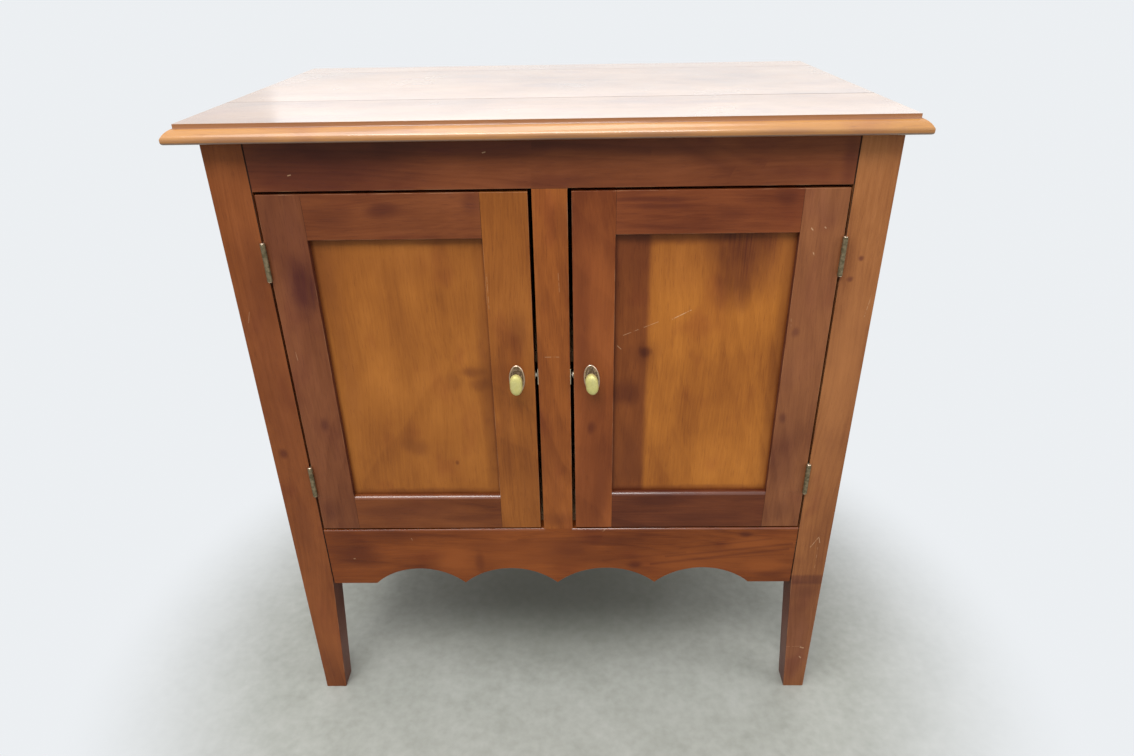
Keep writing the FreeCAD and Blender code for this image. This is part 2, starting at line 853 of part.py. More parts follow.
def oval_plug(label, centre_x, tall, wide, y):
    """An upright oval, tall and wide being its half sizes, pulled out along Y."""
    oval = doc.addObject("Part::Ellipse", f"{label}_rim")
    bind(oval, MajorRadius=tall, MinorRadius=wide)
    upright = FreeCAD.Rotation(FreeCAD.Vector(0, 1, 0), 90) * FreeCAD.Rotation(FreeCAD.Vector(1, 0, 0), 90)
    near, far = in_order(y)
    place(oval, centre_x, near, dim.knob_height, turn=upright)
    plug = doc.addObject("Part::Extrusion", label)
    plug.Base = oval
    plug.DirMode = "Custom"
    plug.Dir = FreeCAD.Vector(0, 1, 0)
    plug.Solid = True
    bind(plug, LengthFwd=far - near)
    return plug


def knob(side, knob_x):
    """The oval plate, the knob and the machine screw from inside. Returns the hole through the door."""
    plate_front = front - dim.knob_plate_thickness
    dish_floor = plate_front + dim.knob_plate_dish
    screw_back = front + dim.door_thickness
    whole_plate = oval_plug(
        f"knob_plate_{side}_oval", knob_x, dim.knob_plate_tall, dim.knob_plate_wide, (plate_front, front)
    )
    dish = oval_plug(
        f"knob_plate_{side}_dish",
        knob_x,
        dim.knob_plate_tall - dim.knob_plate_rim,
        dim.knob_plate_wide - dim.knob_plate_rim,
        (plate_front, dish_floor),
    )
    start = (knob_x, screw_back, dim.knob_height)
    shank_length = screw_back - front + dim.knob_screw_reach
    door_hole = rod(
        f"knob_{side}_hole", dim.knob_screw_radius + dim.knob_hole_ease, shank_length, start, "y", -1
    )
    keep(cut(f"knob_plate_{side}", whole_plate, dish, door_hole))

    head = doc.addObject("Part::Ellipsoid", f"knob_{side}_head")
    bind(head, Radius1=dim.knob_head_tall, Radius2=dim.knob_head_wide, Radius3=dim.knob_head_deep)
    place(head, knob_x, front - dim.knob_centre_reach, dim.knob_height)
    neck_length = dish_floor - (front - dim.knob_centre_reach)
    neck = rod(
        f"knob_{side}_neck", dim.knob_neck_radius, neck_length, (knob_x, dish_floor, dim.knob_height), "y", -1
    )
    thread_length = shank_length + dim.screw_ease
    thread = rod(
        f"knob_{side}_thread", dim.knob_screw_radius + dim.screw_ease, thread_length, start, "y", -1
    )
    keep(cut(f"knob_{side}", fuse(f"knob_{side}_blank", head, neck), thread))

    shank = rod(f"knob_screw_{side}_shank", dim.knob_screw_radius, shank_length, start, "y", -1)
    pan = rod(f"knob_screw_{side}_pan", dim.knob_screw_head, dim.knob_screw_head_height, start, "y")
    slot_y = screw_back + dim.knob_screw_head_height
    slot = block(
        f"knob_screw_{side}_slot",
        (knob_x - dim.knob_screw_head, knob_x + dim.knob_screw_head),
        (slot_y - dim.slot_depth, slot_y),
        (dim.knob_height - dim.slot_width / 2, dim.knob_height + dim.slot_width / 2),
    )
    keep(cut(f"knob_screw_{side}", fuse(f"knob_screw_{side}_form", shank, pan), slot))
    return door_hole


def coil_spring(label, x, way):
    """A helical spring along X that presses from the barrel's end wall towards the ball."""
    body = doc.addObject("PartDesign::Body", label)
    sketch = body.newObject("Sketcher::SketchObject", f"{label}_wire")
    own_plane = next(f for f in body.Origin.OriginFeatures if f.Role == "XZ_Plane")
    sketch.AttachmentSupport = [(own_plane, "")]
    sketch.MapMode = "FlatFace"
    centre = FreeCAD.Vector(dim.spring_radius.value, dim.spring_wire_radius.value, 0)
    sketch.addGeometry(Part.Circle(centre, FreeCAD.Vector(0, 0, 1), dim.spring_wire_radius.value), False)
    sizes = (
        ("DistanceX", (-1, 1, 0, 3), dim.spring_radius),
        ("DistanceY", (-1, 1, 0, 3), dim.spring_wire_radius),
        ("Radius", (0,), dim.spring_wire_radius),
    )
    for kind, ends, size in sizes:
        tie = sketch.addConstraint(Sketcher.Constraint(kind, *ends, size.value))
        sketch.setExpression(f"Constraints[{tie}]", size.formula)
    helix = body.newObject("PartDesign::AdditiveHelix", f"{label}_coil")
    helix.Profile = sketch
    helix.ReferenceAxis = (sketch, ["V_Axis"])
    helix.Mode = "pitch-height-angle"
    start, end = x
    length = (end - start) * way - dim.spring_wire_radius * 2
    bind(helix, Pitch=dim.spring_pitch, Height=length)
    place(body, start, catch_y, dim.catch_height, turn=TURNS["x", way])
    return body


def ball_catch(side, sign, lock_edge):
    """Barrel, ball and spring in the door's meeting edge. Returns the hole that the barrel sits in."""
    mouth = lock_edge - sign * dim.catch_flange_thickness
    ball_x = lock_edge + sign * dim.catch_ball_inset
    inner_end = lock_edge + sign * (dim.catch_barrel_length - dim.catch_end_wall)

    def on_axis(x):
        return (x, catch_y, dim.catch_height)

    tube = rod(
        f"catch_{side}_tube", dim.catch_barrel_radius, dim.catch_barrel_length, on_axis(lock_edge), "x", sign
    )
    flange = rod(
        f"catch_{side}_flange", dim.catch_flange_radius, dim.catch_flange_thickness, on_axis(mouth), "x", sign
    )
    bore_start = mouth + sign * dim.catch_lip_thickness
    bore = rod(
        f"catch_{side}_bore",
        dim.catch_ball_radius + dim.catch_bore_ease,
        (inner_end - bore_start) * sign,
        on_axis(bore_start),
        "x",
        sign,
    )
    lip = rod(
        f"catch_{side}_lip",
        dim.catch_ball_radius - dim.catch_lip_ease,
        dim.catch_lip_thickness,
        on_axis(mouth),
        "x",
        sign,
    )
    keep(cut(f"catch_barrel_{side}", fuse(f"catch_{side}_barrel_blank", tube, flange), bore, lip))

    ball = doc.addObject("Part::Sphere", f"catch_ball_{side}")
    bind(ball, Radius=dim.catch_ball_radius)
    place(ball, *on_axis(ball_x))
    keep(ball)

    ball_back = ball_x + sign * dim.catch_ball_radius
    keep(coil_spring(f"catch_spring_{side}", (ball_back, inner_end), sign))
    return rod(
        f"catch_{side}_hole",
        dim.catch_barrel_radius + dim.screw_ease,
        dim.catch_barrel_length + dim.screw_ease,
        on_axis(lock_edge),
        "x",
        sign,
    )


def door(side, sign):
    """A door: two grooved stiles, two tenoned rails, a flat panel that floats in the groove."""
    hinge_edge = sign * (leg_inner - dim.hinge_gap)
    lock_edge = centre_edges[side] + sign * dim.lock_gap
    hinge_inner = hinge_edge - sign * dim.hinge_stile_width
    lock_inner = lock_edge + sign * lock_stiles[side]
    panel_low, panel_high = panel_lows[side], panel_highs[side]
    name = f"door_{side}"

    def sunk(depth):
        """The panel's opening in X, sunk by a depth into both stiles."""
        return (lock_inner - sign * depth, hinge_inner + sign * depth)

    float_depth = dim.panel_groove - dim.panel_ease
    groove = block(
        f"{name}_groove",
        sunk(dim.panel_groove),
        groove_y,
        (panel_low - dim.panel_groove, panel_high + dim.panel_groove),
    )
    keep(
        block(
            f"{name}_panel",
            sunk(float_depth),
            groove_y,
            (panel_low - float_depth, panel_high + float_depth),
        )
    )
    tenons = []
    rails = {
        "bottom": (door_low, panel_low, door_low + dim.panel_groove, panel_low - dim.panel_groove),
        "top": (panel_high, door_high, panel_high + dim.panel_groove, door_high - dim.panel_groove),
    }
    for level, (low, high, tenon_low, tenon_high) in rails.items():
        tenon = block(
            f"{name}_{level}_tenon", sunk(dim.door_tenon_length), groove_y, (tenon_low, tenon_high)
        )
        board = block(f"{name}_{level}_board", (lock_inner, hinge_inner), door_y, (low, high))
        keep(cut(f"{name}_{level}_rail", fuse(f"{name}_{level}_blank", board, tenon), groove))
        tenons.append(tenon)

    hinge_cutters = [groove, *tenons]
    for level in hinge_levels:
        hinge_cutters += [leaf_plates["door", side, level], leaf_holes["door", side, level]]
    hinge_board = block(f"{name}_hinge_board", (hinge_edge, hinge_inner), door_y, (door_low, door_high))
    keep(cut(f"{name}_hinge_stile", hinge_board, *hinge_cutters))

    knob_hole = knob(side, lock_edge + sign * dim.knob_offset)
    barrel_hole = ball_catch(side, sign, lock_edge)
    lock_board = block(f"{name}_lock_board", (lock_edge, lock_inner), door_y, (door_low, door_high))
    keep(cut(f"{name}_lock_stile", lock_board, groove, *tenons, knob_hole, barrel_hole))


for side, sign in SIDES.items():
    door(side, sign)


# ------------------------------------------------------------- check and export

doc.recompute()
failed = [thing.Label for thing in doc.Objects if {"Invalid", "Error"} & set(thing.State)]
if failed:
    raise RuntimeError(f"these objects did not recompute: {failed}")
unsound = [piece.Label for piece in pieces if piece.Shape.isNull() or not piece.Shape.isValid()]
if unsound:
    raise RuntimeError(f"these pieces have no sound shape: {unsound}")
for piece in pieces:
    piece.Shape.exportStep(f"parts/{piece.Label}.step")
print(f"{len(pieces)} pieces written")
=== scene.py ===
# %% [markdown]
# # A small two-door cupboard, from bare boards to a waxed finish
#
# The boards, hinges and catches already exist as an engineering model. This lesson dresses
# them: it eases the boards' edges, turns and presses the small brass pieces, and mixes the
# wood, brass and steel that each of them shows. Blender counts in metres and the tables here
# in millimetres. Z is up, and X runs along the front.

# %% Load the engineering model
import json
import math

import bmesh
import bpy
from mathutils import Matrix, Vector

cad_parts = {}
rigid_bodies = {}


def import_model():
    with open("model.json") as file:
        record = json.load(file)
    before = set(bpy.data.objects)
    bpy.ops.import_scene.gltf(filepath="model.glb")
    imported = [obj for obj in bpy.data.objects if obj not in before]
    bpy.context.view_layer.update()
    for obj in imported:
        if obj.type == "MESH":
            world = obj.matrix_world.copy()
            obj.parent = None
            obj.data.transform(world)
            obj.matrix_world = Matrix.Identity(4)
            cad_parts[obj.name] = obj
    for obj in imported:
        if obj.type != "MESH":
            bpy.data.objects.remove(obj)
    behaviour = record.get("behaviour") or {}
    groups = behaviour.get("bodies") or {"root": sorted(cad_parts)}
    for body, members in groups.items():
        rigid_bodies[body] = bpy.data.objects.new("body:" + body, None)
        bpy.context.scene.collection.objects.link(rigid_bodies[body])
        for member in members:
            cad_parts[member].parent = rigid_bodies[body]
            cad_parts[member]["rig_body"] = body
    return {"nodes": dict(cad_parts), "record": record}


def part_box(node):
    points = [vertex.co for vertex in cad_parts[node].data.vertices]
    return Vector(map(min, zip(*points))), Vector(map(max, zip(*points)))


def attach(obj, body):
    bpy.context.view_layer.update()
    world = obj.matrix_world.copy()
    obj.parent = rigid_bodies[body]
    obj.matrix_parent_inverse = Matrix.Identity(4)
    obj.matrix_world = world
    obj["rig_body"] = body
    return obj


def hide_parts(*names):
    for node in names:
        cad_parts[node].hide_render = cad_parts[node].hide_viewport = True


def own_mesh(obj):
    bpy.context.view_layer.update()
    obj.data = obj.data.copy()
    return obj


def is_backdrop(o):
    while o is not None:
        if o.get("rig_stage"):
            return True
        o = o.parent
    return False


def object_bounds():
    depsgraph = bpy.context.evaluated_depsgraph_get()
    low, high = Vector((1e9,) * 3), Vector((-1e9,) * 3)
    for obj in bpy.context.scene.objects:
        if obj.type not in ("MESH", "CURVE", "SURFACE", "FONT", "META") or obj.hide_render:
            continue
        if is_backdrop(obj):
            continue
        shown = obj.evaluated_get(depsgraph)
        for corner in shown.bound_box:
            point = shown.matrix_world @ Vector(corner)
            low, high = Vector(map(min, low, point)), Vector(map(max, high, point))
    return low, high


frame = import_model()
cad_low, cad_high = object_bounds()
MM = 0.001
print("the model's box in mm:", [round(c / MM, 1) for c in (*cad_low, *cad_high)])


def box(node):
    """The lowest and the highest corner of one engineered piece, in mm."""
    low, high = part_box(node)
    return low / MM, high / MM


# %% [markdown]
# ## Where the eye stands
#
# The cupboard is seen from a metre above the floor, a little more than a metre away, looking
# down. A wide lens that close makes the legs lean together. Its length follows from how many
# picture widths away the focal point lies, and its three turns are a tripod head's: turn, dip
# and lean.

# %% Camera
PICTURE_WIDTH = 1134
FOCAL_PIXELS = 766.31
SENSOR_MM = 36
EYE = Vector((0.0310, -1.0787, 1.0164))
TURN = math.radians(1.137)
DIP = math.radians(28.256)
LEAN = math.radians(-1.028)

bpy.ops.object.camera_add(location=EYE)
camera = bpy.context.object
camera.data.sensor_width = SENSOR_MM
camera.data.lens = FOCAL_PIXELS / PICTURE_WIDTH * SENSOR_MM
camera.matrix_world = (
    Matrix.Translation(EYE)
    @ Matrix.Rotation(TURN, 4, "Z")
    @ Matrix.Rotation(math.pi / 2 - DIP, 4, "X")
    @ Matrix.Rotation(LEAN, 4, "Z")
)
bpy.context.scene.camera = camera
bpy.context.scene.view_settings.view_transform = "Standard"
print("lens in mm:", round(camera.data.lens, 2))

# %% [markdown]
# ## A way to write materials as sums
#
# A material is a web of small nodes. Wired by hand, a sum such as `1 - mask * 0.3` takes two
# nodes and four lines. The class below wraps one socket, so that Python's own signs add the
# nodes, and one method makes every other kind of node: its settings go in first, because
# they decide which sockets it has, and then its values or links.

# %% The socket class and the one node method
class Wire:
    """One output of a node. Sums written with it add Math nodes to its finish."""

    def __init__(self, finish, socket):
        self.finish = finish
        self.socket = socket

    def sum(self, operation, *terms):
        return self.finish.node("ShaderNodeMath", {"operation": operation}, dict(enumerate(terms)))

    def __add__(self, other):
        return self.sum("ADD", self, other)

    def __radd__(self, other):
        return self.sum("ADD", other, self)

    def __sub__(self, other):
        return self.sum("SUBTRACT", self, other)

    def __rsub__(self, other):
        return self.sum("SUBTRACT", other, self)

    def __mul__(self, other):
        return self.sum("MULTIPLY", self, other)

    def __rmul__(self, other):
        return self.sum("MULTIPLY", other, self)

    def __truediv__(self, other):
        return self.sum("DIVIDE", self, other)

    def __rtruediv__(self, other):
        return self.sum("DIVIDE", other, self)

    def __gt__(self, other):
        return self.sum("GREATER_THAN", self, other)

    def __lt__(self, other):
        return self.sum("LESS_THAN", self, other)


class Finish:
    """The node tree of one material, of a lamp's surroundings, or of the floor."""

    def __init__(self, owner):
        owner.use_nodes = True
        self.owner = owner
        self.tree = owner.node_tree
        self.tree.nodes.clear()

    def node(self, kind, settings=None, values=None, out=0):
        made = self.tree.nodes.new(kind)
        for name, setting in (settings or {}).items():
            if name == "stops":
                ramp = made.color_ramp.elements
                while len(ramp) < len(setting):
                    ramp.new(0.5)
                for element, (place, colour) in zip(ramp, setting):
                    element.position = place
                    element.color = (*colour, 1)
            else:
                setattr(made, name, setting)
        for socket, value in (values or {}).items():
            if isinstance(value, Wire):
                self.tree.links.new(value.socket, made.inputs[socket])
            else:
                made.inputs[socket].default_value = value
        return Wire(self, made.outputs[out]) if made.outputs else None


# %% Small mixes that every finish uses
def vector(wire, operation, other, out=0):
    """Vector Math: a Math node would turn a vector into one number."""
    return wire.finish.node("ShaderNodeVectorMath", {"operation": operation}, {0: wire, 1: other}, out)


def noise(place, scale, detail=2, out="Fac"):
    values = {"Vector": place, "Scale": scale, "Detail": detail}
    return place.finish.node("ShaderNodeTexNoise", {}, values, out)


def fade(wire, low, high):
    """0 below low, 1 above high, and smooth between them."""
    values = {"Value": wire, "From Min": low, "From Max": high}
    return wire.finish.node("ShaderNodeMapRange", {"interpolation_type": "SMOOTHSTEP"}, values)


def tint(share, first, second, blend="MIX"):
    """Mix two colours: all of the first at share 0, all of the second at share 1."""
    settings = {"data_type": "RGBA", "blend_type": blend, "clamp_factor": True}
    colours = [colour if isinstance(colour, Wire) else (*colour, 1) for colour in (first, second)]
    return share.finish.node("ShaderNodeMix", settings, {0: share, 6: colours[0], 7: colours[1]}, 2)


def length(wire):
    return wire.finish.node("ShaderNodeVectorMath", {"operation": "LENGTH"}, {0: wire}, "Value")


def surface(finish, **sockets):
    """Close a material with one Principled shader. Underscores stand for the sockets' spaces."""
    values = {name.replace("_", " "): value for name, value in sockets.items()}
    shader = finish.node("ShaderNodeBsdfPrincipled", {}, values)
    finish.node("ShaderNodeOutputMaterial", {}, {"Surface": shader})
    return finish.owner


# %% [markdown]
# ## The room
#
# A plain pale floor, one wide soft lamp above the front, a long one overhead that draws the
# bright band along the moulding, a weaker one at the right, and an even white sky that fills
# the shadows. The sky is plain white to the eye and in polished surfaces, and weaker as a
# light, so that colours come out as they are written. A low lamp stands far behind: it hardly
# lights the wood, but its mirror image gives the top its sheen and fades out at the left end.
# The floor is bare concrete round the feet, with a painted shadow under the case, and to the eye
# it fades to white farther off.

# %% Sky
SKY_LIGHT = 0.71
world = bpy.data.worlds.new("room")
bpy.context.scene.world = world
room = Finish(world)
rays = ("Is Camera Ray", "Is Glossy Ray", "Is Transmission Ray")
seen, mirrored, through = (room.node("ShaderNodeLightPath", out=ray) for ray in rays)
looked_at = seen.sum("MAXIMUM", seen.sum("MAXIMUM", seen, mirrored), through)
dim_sky = room.node("ShaderNodeBackground", {}, {"Color": (0.96, 0.98, 1, 1), "Strength": SKY_LIGHT})
white_sky = room.node("ShaderNodeBackground", {}, {"Color": (1, 1, 1, 1), "Strength": 1.0})
sky = room.node("ShaderNodeMixShader", {}, {0: looked_at, 1: dim_sky, 2: white_sky})
room.node("ShaderNodeOutputWorld", {}, {"Surface": sky})

# %% Lamps
CASE_MIDDLE = (cad_low + cad_high) / 2


def lamp(name, place, wide, high, watts):
    """A soft rectangle of light that faces the middle of the case."""
    bpy.ops.object.light_add(type="AREA", location=place)
    made = bpy.context.object
    made.name = name
    made.rotation_euler = (CASE_MIDDLE - Vector(place)).to_track_quat("-Z", "Y").to_euler()
    made.data.shape = "RECTANGLE"
    made.data.size = wide
    made.data.size_y = high
    made.data.energy = watts
    made.visible_camera = False


lamp("ceiling_lamp", (-0.33, -1.45, 2.5), 1.5, 0.8, 41)
lamp("overhead_lamp", (-0.30, -0.20, 2.4), 0.8, 2.2, 19)
lamp("side_lamp", (2.3, -1.0, 1.5), 1.2, 1.6, 14)
lamp("back_lamp", (0.40, 3.0, 1.72), 4.2, 0.7, 6.7)

# %% Floor
FLOOR_SIZE = 120
bpy.ops.mesh.primitive_plane_add(size=FLOOR_SIZE, location=(0, 0, 0))
floor = bpy.context.object
floor.name = "floor"
concrete = Finish(bpy.data.materials.new("pale_floor"))
ground = concrete.node("ShaderNodeTexCoord", out="Object")
flat = vector(vector(ground, "ADD", (0, 0.12, 0)), "MULTIPLY", (1, 1, 0))
away = length(flat)
cast = (noise(ground, 14, 4) + noise(ground, 70, 4)) * 0.5
paint = tint(cast, (0.22, 0.23, 0.19), (0.50, 0.505, 0.47))
# Painted shadow: the concrete is darkened in a patch under the case, where the case shades it.
painted_shadow = 1 - fade(length(vector(ground, "MULTIPLY", (0.8, 1.3, 1))), 0.05, 0.34)
paint = tint(painted_shadow * 0.7, paint, (0.12, 0.13, 0.105))
bare_floor = concrete.node("ShaderNodeBsdfPrincipled", {}, {"Base Color": paint, "Roughness": 0.8})
white = concrete.node("ShaderNodeEmission", {}, {"Color": (0.84, 0.865, 0.89, 1), "Strength": 1.0})
watched = concrete.node("ShaderNodeLightPath", out="Is Camera Ray")
share = fade(away, 0.42, 0.80) * watched
mixed = concrete.node("ShaderNodeMixShader", {}, {0: share, 1: bare_floor, 2: white})
concrete.node("ShaderNodeOutputMaterial", {}, {"Surface": mixed})
floor.data.materials.append(concrete.owner)
floor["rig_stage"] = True

# %% [markdown]
# ## Stained cherry
#
# A tree adds one ring a year round its pith, so a board's figure is what a plane cuts out of
# nested cylinders. The material is mixed the same way: the distance from a pith line, bent a
# little, is counted in rings, and streaks, fibres and pores run along that line. Each board
# gets its own pith, so no two look alike, and ends and faces agree because the pattern fills
# the whole board. Cherry also takes stain unevenly, in soft reddish clouds.

# %% The wood's pattern
GRAIN_TURNS = {"x": (0, -math.pi / 2, 0), "y": (math.pi / 2, 0, 0), "z": (0, 0, 0)}
RING_WIDTH = 6.5 * MM


def drawn_out(place, share):
    """Stretch whatever pattern comes next along the grain."""
    return vector(place, "MULTIPLY", (1, 1, share))


def push(noisy, reach):
    """Turn a noise's colour into a shift to either side."""
    return vector(vector(noisy, "SUBTRACT", (0.5, 0.5, 0.5)), "MULTIPLY", reach)


def figure(finish, place, grain, seed, pith, liveliness, cloudiness):
    """Tone from 0, darkest, to 1, palest, the masks of blotches, pores and streaks, and a drift."""
    start = (0.05 + 0.013 * (seed % 5) + pith, 0.11 - 0.017 * (seed % 7), 0.37 * seed)
    values = {"Vector": place, "Location": start, "Rotation": GRAIN_TURNS[grain]}
    board = finish.node("ShaderNodeMapping", {}, values)
    slow = noise(drawn_out(board, 0.3), 7, 2, "Color")
    bent = vector(board, "ADD", push(slow, (0.06, 0.06, 0)))
    years = length(drawn_out(bent, 0.08)) / RING_WIDTH
    ring = years.sum("FRACT", years)
    year = finish.node(
        "ShaderNodeTexWhiteNoise", {"noise_dimensions": "1D"}, {"W": years.sum("FLOOR", years)}
    )
    late_wood = fade(ring, 0.25, 0.85) * (1 - fade(ring, 0.88, 1.0)) * year
    cloud = noise(drawn_out(board, 0.5), 13, 3)
    streak = noise(drawn_out(bent, 0.05), 60, 3)
    fibre = noise(drawn_out(bent, 0.03), 480, 2)
    lines = (streak - 0.5) * 0.5 + (fibre - 0.5) * 0.45 - late_wood * 0.14
    tone = 0.5 + (cloud - 0.5) * cloudiness + lines * liveliness
    blotch = fade(noise(drawn_out(board, 0.6), 21, 2), 0.52, 0.74)
    pores = fade(noise(drawn_out(board, 0.045), 1400, 1), 0.6, 0.72)
    drift = push(noise(drawn_out(board, 0.3), 52, 6, "Color"), (1.5, 0, 1.5))
    return tone, blotch, pores, streak + fibre, drift


# %% [markdown]
# ## Marks that time leaves
#
# Water, hands and a hundred years of wax darken a board in places, and keys scratch it. Each
# mark is a mask in the board's own coordinates, in millimetres across the front and up. A noise
# drawn out along the grain moves its border, because what soaks into wood runs with it. They
# stay on faces that look forward, so the inside of a door has none of them. A few marks and
# bands stand for painted shade instead: along the rail under the top, round the panels and low
# on the right legs.


# %% Stains, bands, scratches and chips
def stain(place, drift, x, z, half_x, half_z, edge=0.7):
    """A dark patch with a wandering border, on a board seen from the front."""
    away = vector(place, "SUBTRACT", (x * MM, 0, z * MM))
    away = vector(away, "MULTIPLY", (1 / (half_x * MM), 0, 1 / (half_z * MM)))
    return 1 - fade(length(vector(away, "ADD", drift)), 1 - edge, 1 + edge)


def band(place, axis, low, high, soft):
    """All that lies between two heights or two distances along an axis, in mm."""
    along = place.finish.node("ShaderNodeSeparateXYZ", {}, {"Vector": place}, axis)
    starts = fade(along, (low - soft) * MM, low * MM)
    return starts * (1 - fade(along, high * MM, (high + soft) * MM))


def border(place, x, z, half_x, half_z, reach):
    """The strip just inside a frame's opening, darkened for dirt and for painted shade in the recess."""
    across = vector(place, "SUBTRACT", (x * MM, 0, z * MM))
    across = vector(across, "ABSOLUTE", (0, 0, 0))
    room_left = vector(across, "SUBTRACT", (half_x * MM, 0, half_z * MM))
    side = place.finish.node("ShaderNodeSeparateXYZ", {}, {"Vector": room_left}, "X")
    end = place.finish.node("ShaderNodeSeparateXYZ", {}, {"Vector": room_left}, "Z")
    return fade(side.sum("MAXIMUM", side, end), -reach * MM, 0.5 * MM)


def stroke(place, x, z, end_x, end_z, width, core=0.4):
    """A fine line from one point to another, full as far as its core and gone at its width."""
    run = Vector(((end_x - x) * MM, 0, (end_z - z) * MM))
    way = run.normalized()
    from_start = vector(place, "SUBTRACT", (x * MM, 0, z * MM))
    on_way = vector(from_start, "DOT_PRODUCT", tuple(way), "Value")
    beside = vector(from_start, "DOT_PRODUCT", (-way.z, 0, way.x), "Value")
    beside = beside.sum("ABSOLUTE", beside)
    inside = (on_way > 0) * (on_way < run.length)
    return (1 - fade(beside, width * MM * core, width * MM)) * inside


def chips(place, scale, size):
    """Small chips, one in some of the cells of a Voronoi pattern."""
    cells = {"Vector": place, "Scale": scale}
    near = place.finish.node("ShaderNodeTexVoronoi", {}, cells, "Distance")
    kind = place.finish.node("ShaderNodeTexVoronoi", {}, cells, "Color")
    chosen = length(kind) > 1.3
    return (1 - fade(near, size * scale * MM * 0.6, size * scale * MM)) * chosen


# %% [markdown]
# ## The wood itself
#
# Each board is given its middle colour, and its darkest and palest tones follow from it. The
# old finish is a thin dull wax, so it shines little, apart from edges that hands and dusters
# have polished. Where an arris is rubbed bare the wood is pale, and dirt has filled the joints.
# Such faces carry a number, which the finish reads.

# %% Timber
# What a face's number says: a rubbed arris, a polished edge, the top's golden round, the worn
# step above it, a side darkened by painted shade where little light reaches, and a joint full
# of dirt.
WORN = 1.0
POLISHED = 2.0
SHEEN = 3.0
DULL = 4.0
# Painted shade: faces with this number are darkened because little light reaches them.
PAINTED_SHADE = 5.0
DIRTY = 6.0
DARK_OF = Vector((0.55, 0.45, 0.50))
PALE_OF = Vector((1.40, 1.52, 1.65))
BARE_WOOD = (0.60, 0.38, 0.22)
WORN_WOOD = (0.40, 0.20, 0.10)
GOLDEN_WOOD = (0.44, 0.190, 0.036)
DULL_WOOD = (0.27, 0.097, 0.024)
STAIN_SHADE = (0.42, 0.31, 0.55)
CHERRY_SHADE = (0.74, 0.60, 0.78)
DIRT = (0.018, 0.009, 0.006)
VEIN_SWAY = 2.2
SOFT_CORE = -0.3


def shaded(colour, share):
    return tuple(one * other for one, other in zip(colour, share))


def darkened(colour, share, shade=STAIN_SHADE):
    return tint(share, colour, shade, "MULTIPLY")


def timber(name, grain, seed, shade, inset=None, **look):
    """A board's finish. Marks, bands and veins darken, pale clouds lighten, lines are scratches."""
    finish = Finish(bpy.data.materials.new(name))
    place = finish.node("ShaderNodeTexCoord", out="Object")
    pattern = look.get("pith", 0), look.get("lively", 1), look.get("cloudy", 1.3)
    tone, blotch, pores, streak, drift = figure(finish, place, grain, seed, *pattern)
    stops = [(0.05, shaded(shade, DARK_OF)), (0.5, shade), (0.95, shaded(shade, PALE_OF))]
    colour = finish.node("ShaderNodeValToRGB", {"stops": stops}, {"Fac": tone}, "Color")
    edge = finish.node("ShaderNodeAttribute", {"attribute_name": "edge"}, out="Fac")
    numbers = (WORN, POLISHED, SHEEN, DULL, PAINTED_SHADE, DIRTY)
    worn, polished, sheen, dull, painted_shade, dirty = (
        edge.sum("COMPARE", edge, number, 0.2) for number in numbers
    )
    colour = tint(sheen * 0.85, colour, GOLDEN_WOOD)
    colour = darkened(colour, blotch * look.get("blotchy", 0.6), CHERRY_SHADE)
    colour = darkened(colour, pores * 0.3)
    outward = finish.node("ShaderNodeTexCoord", out="Normal")
    front = fade(vector(outward, "DOT_PRODUCT", (0, -1, 0), "Value"), 0.0, 0.5)
    soaked = (0.9 + (streak - 1) * 0.9) * front
    for *cloud, strength in look.get("pale", ()):
        colour = tint(stain(place, drift, *cloud) * front * strength, colour, shaded(shade, PALE_OF))
    for *mark, strength in look.get("marks", ()):
        colour = darkened(colour, stain(place, drift, *mark) * soaked * strength)
    for *strip, strength in look.get("bands", ()):
        colour = darkened(colour, band(place, *strip) * strength)
    for *vein, strength in look.get("veins", ()):
        bent = vector(place, "ADD", vector(drift, "MULTIPLY", (0, 0, VEIN_SWAY * MM)))
        colour = darkened(colour, stroke(bent, *vein, SOFT_CORE) * soaked * strength)
    # A panel's border is darkened, partly dirt and partly painted shade in the recess.
    if inset:
        colour = darkened(colour, border(place, *inset) * 0.7)
    worn = worn * fade(noise(place, 38, 3), 0.40, 0.66)
    colour = tint(worn * 0.5, colour, WORN_WOOD)
    bare = chips(place, 24, 0.5) * look.get("chipped", 0.5)
    broken = fade(noise(place, 160, 2), 0.40, 0.50) * front
    for *line, strength in look.get("lines", ()):
        bare = bare.sum("MAXIMUM", bare, stroke(place, *line) * broken * strength)
    colour = tint(bare, colour, BARE_WOOD)
    colour = tint(dull * 0.85, colour, DULL_WOOD)
    # Painted shade on the sides that little light reaches.
    colour = darkened(colour, painted_shade * 0.8)
    colour = tint(dirty * 0.9, colour, DIRT)
    smudge = noise(place, 9, 3)
    dents = noise(place, 30, 2)
    relief = {"Height": pores * -0.5 + dents * 0.9, "Distance": 0.0004, "Strength": 0.35}
    rough = look.get("rough", 0.42)
    coat = look.get("coat", 0.06)
    return surface(
        finish,
        Base_Color=colour,
        Roughness=rough + (smudge - 0.5) * 0.2 + bare * 0.2 + dirty * 0.3 + (sheen - polished) * 0.12,
        Normal=finish.node("ShaderNodeBump", {}, relief),
        Coat_Weight=(coat + polished * (1 - coat)) * (1 - (dull + dirty) * 0.9 - sheen * 0.45),
        Coat_Roughness=look.get("coat_rough", 0.18),
        Coat_IOR=look.get("coat_ior", 1.5),
        Specular_IOR_Level=look.get("gloss", 0.2),
    )


# %% [markdown]
# ## Metals
#
# Old brass is bright where fingers and doors rub it and brown or green where they don't. The
# tarnish is a noise that takes away the metal's shine as well as its colour, and rims that
# carry the mark of a worn edge stay bright. Steel screws and springs only dull a little.


